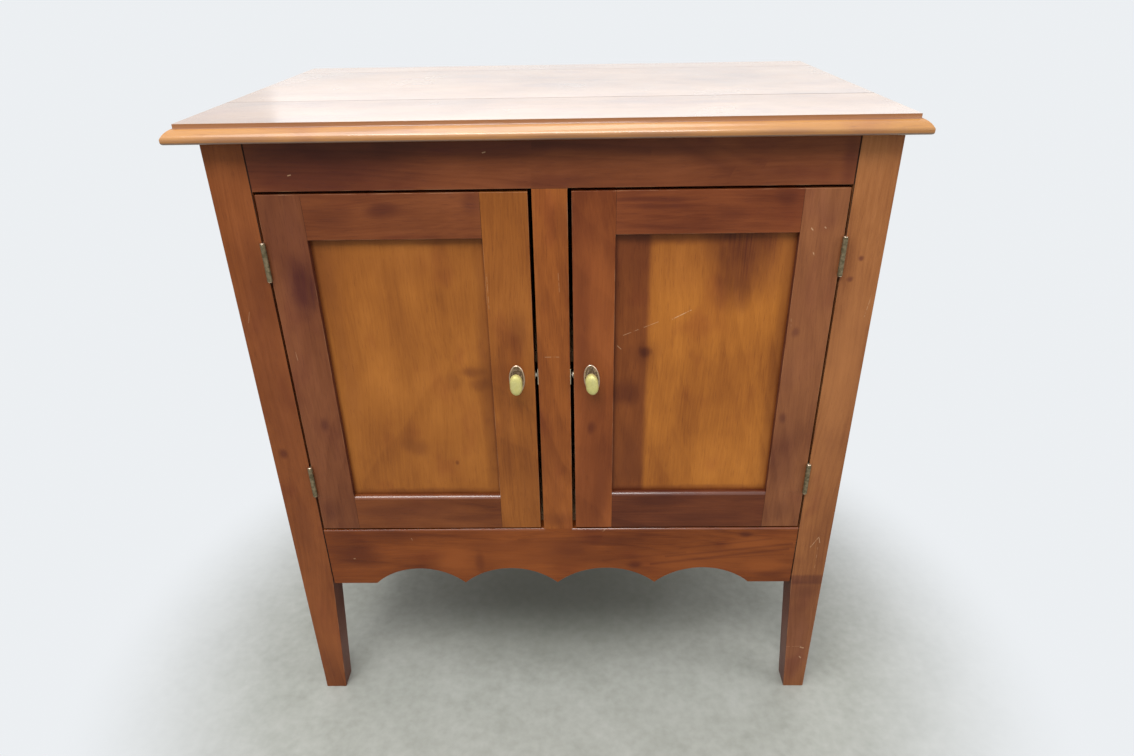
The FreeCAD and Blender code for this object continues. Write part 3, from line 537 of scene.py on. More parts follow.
# %% Brass and steel
def metal(name, bright, tarnish, amount, rough, scale=260):
    """Amount, from 0 to 1, is how much of the surface has tarnished."""
    finish = Finish(bpy.data.materials.new(name))
    place = finish.node("ShaderNodeTexCoord", out="Object")
    edge = finish.node("ShaderNodeAttribute", {"attribute_name": "edge"}, out="Fac")
    rubbed = (edge > 0.5) * 0.8
    patches = noise(place, scale, 3)
    grime = fade(patches, 0.66 - amount * 0.45, 0.92 - amount * 0.35) * (1 - rubbed)
    fine = noise(drawn_out(place, 0.2), 2600, 2)
    relief = {"Height": patches + fine * 0.3, "Distance": 0.00008, "Strength": 0.5}
    return surface(
        finish,
        Base_Color=tint(grime, bright, tarnish),
        Metallic=1 - grime * 0.45,
        Roughness=rough + grime * 0.25 + (fine - 0.5) * 0.1,
        Normal=finish.node("ShaderNodeBump", {}, relief),
    )


HINGE_BRASS = metal("hinge_brass_aged", (0.34, 0.27, 0.17), (0.105, 0.085, 0.042), 0.8, 0.40, 170)
STRIKE_BRASS = metal("strike_brass_pale", (0.80, 0.72, 0.55), (0.50, 0.42, 0.28), 0.3, 0.34)
PIN_BRASS = metal("pin_brass_rubbed", (0.80, 0.66, 0.50), (0.42, 0.34, 0.22), 0.35, 0.28)
PLATE_BRASS = metal("plate_brass_antique", (0.70, 0.53, 0.40), (0.135, 0.090, 0.050), 1.0, 0.3, 420)
KNOB_BRASS = metal("knob_brass_satin", (0.76, 0.70, 0.32), (0.60, 0.55, 0.21), 0.9, 0.52, 120)
STEEL = metal("steel_dull", (0.62, 0.61, 0.58), (0.22, 0.20, 0.18), 0.3, 0.26)
BALL_STEEL = metal("ball_steel", (0.95, 0.94, 0.92), (0.80, 0.79, 0.77), 0.9, 0.25)

# %% [markdown]
# ## Helpers for the hands
#
# An operator works on whatever is selected, so each piece starts with nothing selected. In
# edit mode points, edges or faces are picked by a test on their place or direction, the way a
# hand would click them.


# %% Picking and finishing
def start_clean():
    if bpy.context.mode != "OBJECT":
        bpy.ops.object.mode_set(mode="OBJECT")
    bpy.ops.object.select_all(action="DESELECT")


def take(piece):
    """Select one piece alone, and make it the active one."""
    start_clean()
    bpy.context.view_layer.objects.active = piece
    piece.select_set(True)


def edit(piece):
    take(piece)
    bpy.ops.object.mode_set(mode="EDIT")
    bpy.ops.mesh.select_all(action="SELECT")


def middle(part):
    """The middle of an edge or face, in mm."""
    corners = [corner.co for corner in part.verts]
    return sum(corners, Vector()) / len(corners) / MM


def pick(kind, test):
    """In edit mode, select only the points, edges or faces that pass the test; say how many."""
    bpy.ops.mesh.select_mode(type=kind)
    bpy.ops.mesh.select_all(action="DESELECT")
    shape = bmesh.from_edit_mesh(bpy.context.edit_object.data)
    parts = {"VERT": shape.verts, "EDGE": shape.edges, "FACE": shape.faces}[kind]
    chosen = [part for part in parts if test(part)]
    for part in chosen:
        part.select_set(True)
    bmesh.update_edit_mesh(bpy.context.edit_object.data)
    return len(chosen)


def mark(test, value):
    """Write a number on the faces that pass the test, for the finish to read as "edge"."""
    shape = bmesh.from_edit_mesh(bpy.context.edit_object.data)
    numbers = shape.faces.layers.float.get("edge") or shape.faces.layers.float.new("edge")
    for face in shape.faces:
        if test(face):
            face[numbers] = value
    bmesh.update_edit_mesh(bpy.context.edit_object.data)


def settle(piece, name, finish, node, smooth=40):
    """Give a piece its name and finish, and the body of the engineered one it replaces."""
    engineered = frame["nodes"][node]
    take(piece)
    bpy.ops.object.transform_apply(location=True, rotation=True, scale=True)
    bpy.ops.object.shade_smooth_by_angle(angle=math.radians(smooth))
    bpy.ops.object.modifier_add(type="WEIGHTED_NORMAL")
    piece.modifiers[-1].keep_sharp = True
    bpy.ops.object.modifier_apply(modifier=piece.modifiers[-1].name)
    piece.name = name
    piece.data.name = name
    piece.data.materials.clear()
    piece.data.materials.append(finish)
    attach(piece, engineered["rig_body"])
    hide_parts(node)
    start_clean()


# %% [markdown]
# ## Boards with eased edges
#
# A sawn board has knife-sharp edges, and a joiner breaks them with sandpaper. Each board is
# copied from the engineering model, so its tenons and housings stay true. The copy is welded,
# because it arrives as loose triangles, and its flat faces are made whole. Then its edges are
# bevelled in turns: a broad polished round where dusters rub, a hairline V where two pieces
# meet and dirt collects, nothing where two faces run flush, and a fine worn arris elsewhere.

# %% Easing a board
WELD = 0.002 * MM
FLAT = math.radians(0.2)
SHARP = math.radians(50)
SQUARE = 0.985
FULL_ROUND = 0.36
AXES = {"x": (1, 0, 0), "y": (0, 1, 0), "z": (0, 0, 1)}


def copied(node):
    """A copy of an engineered piece, in edit mode, with its loose triangles welded."""
    piece = bpy.data.objects.new(f"{node}_copy", frame["nodes"][node].data.copy())
    bpy.context.scene.collection.objects.link(piece)
    edit(piece)
    bpy.ops.mesh.remove_doubles(threshold=WELD)
    return piece


def round_off(test, width, segments, number, shortest, profile=0.5):
    """Bevel the sharp outer edges that pass the test, and number the new faces."""
    count = pick(
        "EDGE",
        lambda edge: edge.is_convex
        and edge.calc_length() > shortest * MM
        and edge.calc_face_angle(0) > SHARP
        and test(middle(edge)),
    )
    if count:
        bpy.ops.mesh.bevel(
            offset=width * MM, segments=segments, profile=profile, affect="EDGES", clamp_overlap=False
        )
        mark(lambda face: face.select and max(map(abs, face.normal)) < SQUARE, number)
    return count


def nowhere(spot):
    return False


def near(place, target, reach=0.4):
    return abs(place - target) < reach


def eased(node, finish, arris=0.8, shortest=9.0, segments=2, cuts=(), polished=nowhere,
          polish=2.0, joint=nowhere, gap=0.35, flush=nowhere, tones=()):
    """A copy of a board with its edges rounded. Cuts split edges first: (axis, place in mm)."""
    piece = copied(node)
    bpy.ops.mesh.dissolve_limited(angle_limit=FLAT)
    for axis, place in cuts:
        bpy.ops.mesh.select_all(action="SELECT")
        point = tuple(step * place * MM for step in AXES[axis])
        bpy.ops.mesh.bisect(plane_co=point, plane_no=AXES[axis])
    rounds = round_off(polished, polish, 3, POLISHED, shortest, FULL_ROUND)
    joints = round_off(joint, gap, 1, DIRTY, shortest)
    rest = round_off(
        lambda spot: not (flush(spot) or joint(spot) or polished(spot)),
        arris, segments, WORN, shortest,
    )
    for test, number in tones:
        mark(test, number)
    print(f"{node}: {rounds} polished, {joints} joint and {rest} plain edges eased")
    settle(piece, f"{node}_eased", finish, node)


# %% [markdown]
# ## Legs
#
# Four square legs, tapered below the apron. The left pair is a warm orange brown. The right pair
# is paler, partly its own colour and partly painted light from the right, and a painted shade
# darkens it towards the feet. Dirt has filled the front legs' inner edges, beside the doors, and
# the tapered inner side of each foot is painted in shade.

# %% The four legs
LEG_EDGE = box("leg_front_right")[0].x
CASE_FRONT = box("leg_front_right")[0].y
RAIL_LOW = box("front_rail")[0].z
APRON_TOP = box("scalloped_apron")[1].z
TAPER_TOP = 240


def on_front(spot):
    return near(spot.y, CASE_FRONT)


def at_leg(spot):
    return near(abs(spot.x), LEG_EDGE) and on_front(spot)


def beside_case(spot):
    """A leg's inner front edge, beside the front rail, the door and the apron."""
    return at_leg(spot) and spot.z > TAPER_TOP


LEFT_LEG = dict(
    shade=(0.203, 0.056, 0.014),
    marks=[
        (-366, 448, 5, 7, 0.8), (-352, 700, 14, 60, 0.25), (-360, 330, 12, 40, 0.3),
        (-357, 560, 24, 130, 0.3),
    ],
    pale=[(-362, 140, 20, 80, 0.35)],
    lines=[(-372, 640, -368, 655, 0.4, 0.3)],
)
# The right legs' pale shade is partly painted light from the right. The band up to 200 mm and the mark
# at 120 mm are a painted shade towards the feet.
RIGHT_LEG = dict(
    shade=(0.300, 0.109, 0.034),
    marks=[
        (347, 689, 3, 3, 0.8), (356, 714, 3, 3, 0.8), (350, 120, 24, 90, 0.45), (349, 205, 22, 16, 0.35),
    ],
    pale=[(357, 560, 24, 150, 0.5)],
    bands=[("Z", 218, 229, 6, 0.6), ("Z", 0, 200, 50, 0.35)],
    lines=[
        (355, 284, 365, 303, 0.6, 0.6), (365, 303, 367.5, 292, 0.6, 0.6),
        (366, 284, 366.5, 246, 0.6, 0.25), (336.8, 150, 337.6, 126, 1.2, 0.6),
        (366, 86, 372, 84, 1.6, 0.6), (365, 70, 370, 62, 1.4, 0.5), (338, 87, 368, 88, 0.5, 0.3),
        (372, 640, 376, 668, 0.5, 0.4),
    ],
)


def inside_taper(face):
    """The tapered side of a leg's foot, which only the floor lights; its shade is painted in."""
    spot = middle(face)
    return spot.z < TAPER_TOP and face.normal.x * spot.x < -0.9 * abs(spot.x)


for number, end in enumerate(("front", "back")):
    for side, look in (("left", LEFT_LEG), ("right", RIGHT_LEG)):
        seed = 3 + 2 * number + (side == "right")
        wood = timber(f"leg_{end}_{side}_wood", "z", seed, **look)
        eased(f"leg_{end}_{side}", wood, 0.9, joint=beside_case, gap=1.0,
              tones=[(inside_taper, PAINTED_SHADE)])

# %% [markdown]
# ## Front rail, apron and centre stile
#
# The rail above the doors is the darkest board of the front. The apron below is sawn into four
# shallow arcs, and every cloth that wiped the doors has polished its top edge. Dark reddish
# clouds run along both, so each gets its own list of marks; along the rail's upper half they are
# partly a painted shadow under the top's overhang.

# %% The fixed frame
STILE_LEFT = box("centre_stile")[0].x
STILE_RIGHT = box("centre_stile")[1].x
STILE_CUTS = (("x", STILE_LEFT), ("x", STILE_RIGHT))


def at_stile(spot):
    return STILE_LEFT < spot.x < STILE_RIGHT


def rubbed_top(spot):
    return near(spot.z, APRON_TOP) and on_front(spot) and not at_stile(spot)


# The dark marks along the rail's upper half are partly stain and partly a painted shadow under the top's
# overhang.
RAIL_LOOK = dict(
    shade=(0.165, 0.044, 0.014),
    marks=[
        (-255, 826, 90, 34, 0.75), (-90, 845, 110, 9, 0.7), (60, 848, 60, 7, 0.6),
        (130, 840, 46, 5, 0.4), (327, 827, 8, 20, 0.6), (250, 812, 60, 8, 0.2), (0, 806, 50, 6, 0.3),
    ],
    veins=[(118, 858, 200, 815, 14, 0.4), (160, 852, 235, 822, 8, 0.3), (-20, 846, 110, 838, 8, 0.4)],
    lines=[(-291, 817, -287, 818, 0.8, 0.5), (-74, 839, -70, 840, 0.8, 0.5)],
)
front_rail_wood = timber("front_rail_wood", "x", 11, **RAIL_LOOK)
eased("front_rail", front_rail_wood, 0.6, cuts=STILE_CUTS,
      joint=at_leg, gap=0.9, flush=lambda spot: at_stile(spot) and spot.z < RAIL_LOW + 1)

APRON_LOOK = dict(
    shade=(0.192, 0.046, 0.008),
    lively=1.3,
    pale=[
        (-148, 262, 30, 24, 0.9), (-60, 262, 60, 26, 0.35), (269, 292, 30, 10, 0.8),
        (294, 252, 30, 12, 0.8), (190, 262, 60, 22, 0.6), (60, 252, 40, 14, 0.4),
    ],
    marks=[
        (-292, 276, 30, 22, 0.7), (-316, 312, 20, 8, 0.4), (-225, 309, 70, 5, 0.4),
        (-225, 240, 40, 6, 0.4), (-116, 261, 6, 16, 0.6), (10, 287, 30, 12, 0.6), (66, 300, 55, 8, 0.6),
        (108, 253, 9, 6, 0.8), (260, 309, 8, 5, 0.8), (303, 235, 20, 6, 0.5), (20, 268, 60, 14, 0.35),
        (-80, 290, 50, 8, 0.3),
    ],
    veins=[
        (129, 254, 326, 282, 4.4, 0.7), (150, 268, 330, 291, 3.4, 0.65), (170, 284, 300, 300, 2.6, 0.5),
        (60, 262, 180, 276, 3.2, 0.4), (-60, 300, 60, 306, 3.0, 0.4), (190, 262, 320, 272, 2.0, 0.5),
    ],
    lines=[
        (-211, 304, -210, 300, 0.8, 0.5), (-299, 267, -296, 267, 1.0, 0.4), (64, 318, 60, 314, 0.8, 0.3),
    ],
)
apron_wood = timber("apron_wood", "x", 12, **APRON_LOOK)
eased("scalloped_apron", apron_wood, 0.7, shortest=2.5, cuts=STILE_CUTS,
      polished=rubbed_top, polish=2.6, joint=at_leg, gap=0.9,
      flush=lambda spot: at_stile(spot) and spot.z > APRON_TOP - 1)

STILE_LOOK = dict(
    shade=(0.270, 0.076, 0.014),
    marks=[(-4, 420, 14, 60, 0.25), (8, 760, 10, 20, 0.3), (-2, 338, 16, 10, 0.35)],
    lines=[(-13, 590, 5, 590, 0.5, 0.45), (6, 700, 7, 676, 0.4, 0.25)],
)
centre_stile_wood = timber("centre_stile_wood", "z", 13, **STILE_LOOK)
eased("centre_stile", centre_stile_wood, 0.7,
      joint=lambda spot: near(spot.z, APRON_TOP) or near(spot.z, RAIL_LOW))

# %% Side panels
for number, side in enumerate(("left", "right")):
    wood = timber(f"side_{side}_wood", "z", 15 + number, (0.19, 0.055, 0.018))
    eased(f"side_panel_{side}", wood, 0.6)

# %% [markdown]
# ## Doors
#
# Each door is two stiles, two rails and a flat panel in a groove. Rails meet stiles flush, so
# only a hairline shows the tenons. The panels are honey coloured, with dark borders that are
# partly dirt that no cloth reached and partly painted shade in the recess, and the upper edge of
# each bottom rail is rubbed round and shiny.

# %% The looks of the door boards
# The thin marks along each panel's edges are partly dirt and partly painted shade in the recess.
DOOR_LOOKS = {
    "left_hinge_stile": dict(
        shade=(0.165, 0.050, 0.018),
        marks=[
            (-299, 682, 17, 30, 0.95), (-303, 494, 5, 9, 0.7), (-317, 356, 11, 18, 0.5),
            (-306, 750, 24, 46, 0.4),
        ],
        lines=[(-322, 600, -321, 588, 0.5, 0.3)],
    ),
    "left_top_rail": dict(
        shade=(0.172, 0.047, 0.014),
        marks=[(-191, 776, 18, 8, 0.7), (-91, 783, 10, 12, 0.5), (-250, 770, 20, 14, 0.3)],
    ),
    "left_lock_stile": dict(
        shade=(0.268, 0.083, 0.014),
        marks=[(-45, 625, 11, 24, 0.4), (-66, 520, 7, 90, 0.25), (-40, 400, 12, 60, 0.2)],
        lines=[(-78, 700, -78, 655, 0.5, 0.25)],
    ),
    "left_bottom_rail": dict(
        shade=(0.172, 0.047, 0.012),
        marks=[(-210, 352, 66, 15, 0.5), (-120, 340, 30, 6, 0.4)],
    ),
    "left_panel": dict(
        shade=(0.322, 0.106, 0.017),
        lively=0.75,
        marks=[
            (-140, 739, 70, 5, 0.5), (-240, 739, 40, 5, 0.35), (-106, 566, 14, 7, 0.6),
            (-98, 548, 12, 9, 0.5), (-132, 552, 10, 10, 0.3), (-190, 452, 14, 12, 0.45),
            (-136, 428, 2, 3, 0.8), (-180, 380, 110, 5, 0.55), (-274, 700, 18, 50, 0.4),
            (-86, 520, 9, 190, 0.4), (-262, 560, 10, 90, 0.25), (-180, 712, 100, 26, 0.2),
        ],
    ),
    "right_hinge_stile": dict(
        shade=(0.230, 0.080, 0.029),
        pale=[(308, 640, 30, 150, 0.25)],
        marks=[
            (293, 620, 4, 6, 0.6), (291, 500, 4, 7, 0.6), (300, 440, 16, 60, 0.35),
            (290, 560, 8, 30, 0.3), (310, 770, 14, 16, 0.25), (300, 350, 18, 16, 0.3),
        ],
        lines=[
            (294, 751, 297, 747, 0.9, 0.6), (309, 752, 311, 750, 0.9, 0.5),
            (300, 722, 302, 718, 0.9, 0.6), (285, 640, 286, 628, 0.4, 0.3),
        ],
    ),
    "right_top_rail": dict(
        shade=(0.190, 0.048, 0.014),
        marks=[
            (112, 786, 46, 3, 0.6), (120, 778, 40, 3, 0.5), (202, 768, 16, 8, 0.45),
            (263, 788, 11, 9, 0.6), (150, 755, 60, 4, 0.3),
        ],
    ),
    "right_lock_stile": dict(
        shade=(0.225, 0.058, 0.013),
        marks=[
            (45, 485, 5, 8, 0.7), (34, 640, 9, 60, 0.3), (58, 380, 10, 40, 0.3), (46, 420, 24, 90, 0.3),
            (38, 560, 14, 60, 0.3),
        ],
        pale=[(50, 690, 22, 90, 0.4)],
    ),
    "right_bottom_rail": dict(
        shade=(0.132, 0.033, 0.011),
        marks=[(135, 368, 40, 7, 0.5), (200, 340, 50, 6, 0.35)],
    ),
    "right_panel": dict(
        shade=(0.387, 0.129, 0.019),
        lively=0.75,
        bands=[("X", 60, 110, 9, 0.85), ("Z", 720, 760, 80, 0.35)],
        marks=[
            (226, 742, 46, 30, 0.8, 0.9), (220, 706, 27, 40, 0.8, 0.85), (214, 676, 15, 24, 0.8, 0.6),
            (111, 593, 7, 7, 0.6, 0.9), (111, 590, 15, 13, 0.8, 0.4), (88, 533, 18, 16, 0.7, 0.7),
            (96, 430, 14, 40, 0.7, 0.4), (180, 383, 110, 6, 0.5, 0.6), (150, 740, 70, 8, 0.6, 0.6),
            (278, 560, 8, 190, 0.6, 0.4), (250, 700, 22, 30, 0.8, 0.35),
        ],
        lines=[
            (84, 615, 127, 633, 0.45, 0.5), (143, 636, 166, 648, 0.6, 0.8),
            (153, 572, 163, 570, 0.5, 0.55), (77, 601, 82, 596, 0.6, 0.5),
        ],
    ),
}


# %% Doors
SNUG = 0.3


def dress_door(side, seed):
    """Ease the five boards of a door, with places read off its own stiles and rails."""
    door = f"door_{side}"
    sill = box(f"{door}_bottom_rail")[1].z
    head = box(f"{door}_top_rail")[0].z
    inner = 1 if side == "left" else 0
    hinge_shoulder = box(f"{door}_hinge_stile")[inner].x
    lock_shoulder = box(f"{door}_lock_stile")[1 - inner].x
    centre = (hinge_shoulder + lock_shoulder) / 2
    half = abs(hinge_shoulder - lock_shoulder) / 2

    def at_shoulder(spot):
        return near(abs(spot.x - centre), half, SNUG)

    def rail_meets(spot):
        """Along a stile's inner edge, the two stretches where a rail lies flush against it."""
        return at_shoulder(spot) and not sill < spot.z < head

    def rubbed_edge(spot):
        """The upper front edge of the bottom rail."""
        return near(spot.z, sill, SNUG) and on_front(spot)

    def meeting_edge(face):
        """The narrow side that faces the centre stile across the gap, darkened with painted shade."""
        return abs(face.normal.x) > 0.9 and abs(middle(face).x) < 30

    def recess(face):
        """The hinge stile's narrow side within the opening, darkened with painted shade."""
        return abs(face.normal.x) > 0.9 and near(middle(face).x, hinge_shoulder, SNUG)

    opening = (centre, (sill + head) / 2, half, (head - sill) / 2, 5)
    woods = {}
    for offset, board in enumerate(("hinge_stile", "top_rail", "lock_stile", "bottom_rail", "panel")):
        grain = "x" if "rail" in board else "z"
        inset = opening if board == "panel" else None
        look = DOOR_LOOKS[f"{side}_{board}"]
        woods[board] = timber(f"{door}_{board}_wood", grain, seed + offset, inset=inset, **look)
    for board in ("hinge_stile", "lock_stile"):
        eased(f"{door}_{board}", woods[board], 0.6, cuts=(("z", sill), ("z", head)),
              flush=rail_meets, tones=[(meeting_edge, PAINTED_SHADE), (recess, PAINTED_SHADE)])
    eased(f"{door}_top_rail", woods["top_rail"], 0.5, joint=at_shoulder)
    eased(f"{door}_bottom_rail", woods["bottom_rail"], 0.5, joint=at_shoulder,
          polished=rubbed_edge, polish=4.2)
    eased(f"{door}_panel", woods["panel"], 0.4)


dress_door("left", 20)
dress_door("right", 30)

# %% [markdown]
# ## Moulded top
#
# Three boards are glued edge to edge, with a small step and a round along the front and both
# ends. The top has the thickest and glossiest finish, and at a low angle it mirrors the room
# until its own colour almost goes. Dirt sits in the glue lines, and the crease at the foot of
# the step is darkened, partly dirt and partly painted shade.

# %% The top's boards
GLUE_LINES = (-97.5, 189.5)


def at_glue_line(spot):
    return any(near(spot.y, line, 1.2) for line in GLUE_LINES)


STEP_FOOT = 871.5
# Darker along the foot of the step: partly dirt, partly painted shade in the crease.
STEP_SHADE_AND_DIRT = ("Z", STEP_FOOT - 0.5, STEP_FOOT + 0.6, 0.4, 0.7)
NOSE_SHADE = ("Z", 850, 860, 3, 0.35)
TOP_LOOK = dict(
    shade=(0.27, 0.128, 0.050),
    bands=[STEP_SHADE_AND_DIRT, NOSE_SHADE],
    rough=0.3, coat=0.9, coat_rough=0.14, coat_ior=1.9, gloss=0.5, chipped=0,
)
NOSE_MARKS = [
    (-330, 862, 40, 4, 0.5), (-180, 866, 60, 3, 0.4), (20, 860, 40, 3, 0.45),
    (110, 861, 36, 3, 0.5), (250, 862, 30, 3, 0.4), (-60, 868, 50, 2, 0.3),
]


def moulded(face):
    """The thumbnail round below the step, whose stain has been rubbed away to a golden tone."""
    return middle(face).z < STEP_FOOT and -0.2 < face.normal.z < 0.98


def step(face):
    """The small upright step, where the polish wears off last."""
    return middle(face).z > STEP_FOOT and abs(face.normal.z) < 0.3


for number, (board, marks) in enumerate((("front", NOSE_MARKS), ("middle", ()), ("back", ()))):
    wood = timber(f"top_{board}_wood", "x", 40 + number, marks=marks, **TOP_LOOK)
    eased(f"top_board_{board}", wood, 0.3, shortest=20, joint=at_glue_line, gap=0.5,
          tones=[(moulded, SHEEN), (step, DULL)])

# %% [markdown]
# ## Back, bottom and shelf
#
# What nobody was meant to see is plain unfinished boards, paler and duller, with the marks of
# age but no wax. The back's boards are tongued together, and dust shows as a line between them.

# %% Unfinished boards
INNER_SHADE = (0.33, 0.195, 0.100)
INNER_LOOK = dict(rough=0.62, coat=0, gloss=0.25, lively=1.1, cloudy=0.7, blotchy=0.3)
INNER_BOARDS = {
    "z": ("back_board_left", "back_board_centre", "back_board_right"),
    "x": ("back_top_rail", "back_bottom_rail", "bottom_board", "shelf"),
    "y": ("top_cleats", "shelf_cleats", "bottom_cleats"),
}
BACK_TOP = box("back_board_centre")[1].z


def dusty(spot):
    """The edges of the back's boards, apart from those at their tops."""
    return not near(spot.z, BACK_TOP, 1)


seed = 50
for grain, boards in INNER_BOARDS.items():
    joint = dusty if grain == "z" else nowhere
    for board in boards:
        seed += 1
        low, high = box(board)
        pith = -(low + high).x / 2 * MM if grain == "z" else 0
        wood = timber(f"{board}_wood", grain, seed, INNER_SHADE, pith=pith, **INNER_LOOK)
        eased(board, wood, 0.7, shortest=14, joint=joint, gap=0.9)

# %% [markdown]
# ## Turned pieces
#
# Knobs, pins and screws all come off a lathe. A lathe is one chain of points spun round an
# axis: it starts as a plane merged to a single point, and each extrude adds the next point.
# The two ends lie on the axis, so the spin closes the shape, once its doubles are merged.


# %% The lathe
def turned(name, profile, steps=32):
    """Spin a chain of points round Z. Each is (radius, height) in mm, and both ends lie on Z."""
    start_clean()
    bpy.ops.mesh.primitive_plane_add(size=MM)
    piece = bpy.context.object
    piece.name = name
    edit(piece)
    bpy.ops.mesh.select_mode(type="VERT")
    bpy.ops.mesh.merge(type="CENTER")
    last = profile[0]
    bpy.ops.transform.translate(value=(0, 0, last[1] * MM))
    for radius, height in profile[1:]:
        step = ((radius - last[0]) * MM, 0, (height - last[1]) * MM)
        bpy.ops.mesh.extrude_vertices_move(TRANSFORM_OT_translate={"value": step})
        last = (radius, height)
    bpy.ops.mesh.select_all(action="SELECT")
    bpy.ops.mesh.spin(steps=steps, angle=math.tau, center=(0, 0, 0), axis=(0, 0, 1))
    bpy.ops.mesh.select_all(action="SELECT")
    bpy.ops.mesh.remove_doubles(threshold=0.01 * MM)
    bpy.ops.mesh.normals_make_consistent(inside=False)
    start_clean()
    print(f"{name}: {len(piece.data.polygons)} faces turned")
    return piece


def slotted(piece, wide, deep):
    """Saw a screwdriver slot across the head, which faces down."""
    start_clean()
    bpy.ops.mesh.primitive_cube_add(size=1, scale=(20 * MM, wide * MM, 2 * deep * MM))
    saw = bpy.context.object
    take(piece)
    bpy.ops.object.modifier_add(type="BOOLEAN")
    piece.modifiers[-1].object = saw
    piece.modifiers[-1].operation = "DIFFERENCE"
    piece.modifiers[-1].solver = "EXACT"
    bpy.ops.object.modifier_apply(modifier=piece.modifiers[-1].name)
    bpy.data.objects.remove(saw)
    return piece


# %% Where each screw and pin goes
END_REACH = 0.3
SLOT_TURN = 0.9


def solids(node):
    """Each loose solid of a group: the middle of its head, the way it points, and its length."""
    before = set(bpy.data.objects)
    copied(node)
    bpy.ops.mesh.separate(type="LOOSE")
    start_clean()
    found = []
    for part in [thing for thing in bpy.data.objects if thing not in before]:
        corners = [corner.co.copy() for corner in part.data.vertices]
        low = Vector(min(corner[i] for corner in corners) for i in range(3))
        high = Vector(max(corner[i] for corner in corners) for i in range(3))
        size = high - low
        axis = max(range(3), key=lambda i: size[i])
        along = Vector(AXES["xyz"[axis]])
        centre = (low + high) / 2
        spread = []
        for end in (low, high):
            ring = [c - centre for c in corners if near(c[axis], end[axis], END_REACH * MM)]
            spread.append(max((c - along * c[axis]).length for c in ring))
        way = along * (1 if spread[0] >= spread[1] else -1)
        found.append((centre - way * size[axis] / 2, way, size[axis]))
        bpy.data.objects.remove(part)
    print(f"{node}: {len(found)} solids found")
    return sorted(found, key=lambda one: tuple(round(c, 5) for c in one[0]))


def set_in(pattern, finish, *groups):
    """Copy a turned pattern to the place of every solid in each group, and join the copies."""
    for node in groups:
        copies = []
        for number, (head, way, _) in enumerate(solids(node)):
            twin = bpy.data.objects.new(f"{node}_{number}", pattern.data.copy())
            bpy.context.scene.collection.objects.link(twin)
            turn = Matrix.Rotation(number * SLOT_TURN, 4, "Z")
            aim = way.to_track_quat("Z", "Y").to_matrix().to_4x4()
            twin.matrix_world = Matrix.Translation(head) @ aim @ turn
            copies.append(twin)
        take(copies[0])
        for twin in copies:
            twin.select_set(True)
        if len(copies) > 1:
            bpy.ops.object.join()
        settle(copies[0], f"{node}_turned", finish, node)
    bpy.data.objects.remove(pattern)


# %% [markdown]
# ## Screws
#
# All are slotted, as old screws are. Those of the hinges and the strike plates are brass with a
# cone under the head, so that it lies flush. The cleats' wood screws are steel, and so is the
# screw that pulls each knob tight, with a domed head inside the door. Threads are rings.


# %% Patterns of the screws
def wood_screw(name, head, shank, size):
    """A countersunk screw whose head faces down at the origin, and whose tip points up."""
    cone = head - shank
    profile = [(0, 0), (head * 0.97, 0.02), (head * 0.98, 0.2)]
    profile += [(shank, cone * 0.95), (shank, size * 0.35)]
    pitch = shank * 0.55
    height = size * 0.35
    while height + 2 * pitch < size * 0.9:
        profile += [(shank * 0.72, height + pitch * 0.5), (shank, height + pitch)]
        height += pitch
    profile += [(shank * 0.6, size * 0.94), (0, size)]
    return slotted(turned(name, profile, 24), head * 0.25, head * 0.27)


set_in(wood_screw("hinge_screw_pattern", 3.0, 1.6, 13.0), HINGE_BRASS,
       "frame_hinge_screws", "door_left_hinge_screws", "door_right_hinge_screws")
set_in(wood_screw("plate_screw_pattern", 1.9, 1.1, 10.0), HINGE_BRASS, "strike_screws")
set_in(wood_screw("cleat_screw_pattern", 4.0, 2.0, 28.0), STEEL, "cleat_screws")

DOMED_SCREW = [
    (0, 0), (1.6, 0.08), (2.8, 0.4), (3.6, 1.0), (3.95, 1.7), (3.95, 2.2),
    (1.9, 2.2), (1.9, 29.6), (1.4, 30.1), (0, 30.1),
]
knob_screw = slotted(turned("knob_screw_pattern", DOMED_SCREW), 0.9, 1.0)
set_in(knob_screw, STEEL, "knob_screw_left", "knob_screw_right")

# %% [markdown]
# ## Hinges, pins and plates
#
# A butt hinge is two leaves whose knuckles curl round a pin. The pin is loose, with a small
# button turned on each end, which stays bright because it stands proud. Leaves and strike
# plates are punched from sheet, so their edges only get the faintest break.

# %% Pins
PIN_RISE = solids("hinge_pins")[0][2] / MM
BUTTON = [(0, 0), (1.3, 0.02), (2.1, 0.18), (2.5, 0.5), (2.6, 0.8), (2.45, 1.08), (1.5, 1.2)]
pin_profile = BUTTON + [(radius, PIN_RISE - height) for radius, height in reversed(BUTTON)]
set_in(turned("pin_pattern", pin_profile, 28), PIN_BRASS, "hinge_pins")

# %% Leaves and strike plates
for side in ("left", "right"):
    for height in ("upper", "lower"):
        for half in ("frame", "door"):
            eased(f"{half}_leaf_{side}_{height}", HINGE_BRASS, 0.18, shortest=3, segments=1)
    eased(f"strike_plate_{side}", STRIKE_BRASS, 0.15, shortest=3, segments=1)

# %% [markdown]
# ## Knobs on oval plates
#
# Each plate is pressed brass: a narrow raised rim, a sunk ground that has gone dark, and a low
# dome under the knob. It starts as a flat disc drawn out to an oval, and every inset makes the
# next ring, moved up or down. The knob grows from the foot of its neck, a circle whose halves
# are pulled a little apart, so that its sides run straighter than an oval's. Each extrude is
# drawn out to the next ring, and the last ones close over the front. Only one screw holds each
# knob, so the right one has turned a little.

# %% Oval plates
RIM_RINGS = ((0.3, 0.4), (0.3, 0.25), (0.6, 0.05), (0.4, -0.35), (0.4, -0.35), (0.8, 0.0))
DOME_RINGS = ((0.84, 0.14), (0.78, 0.2), (0.66, 0.16), (0.45, 0.06))

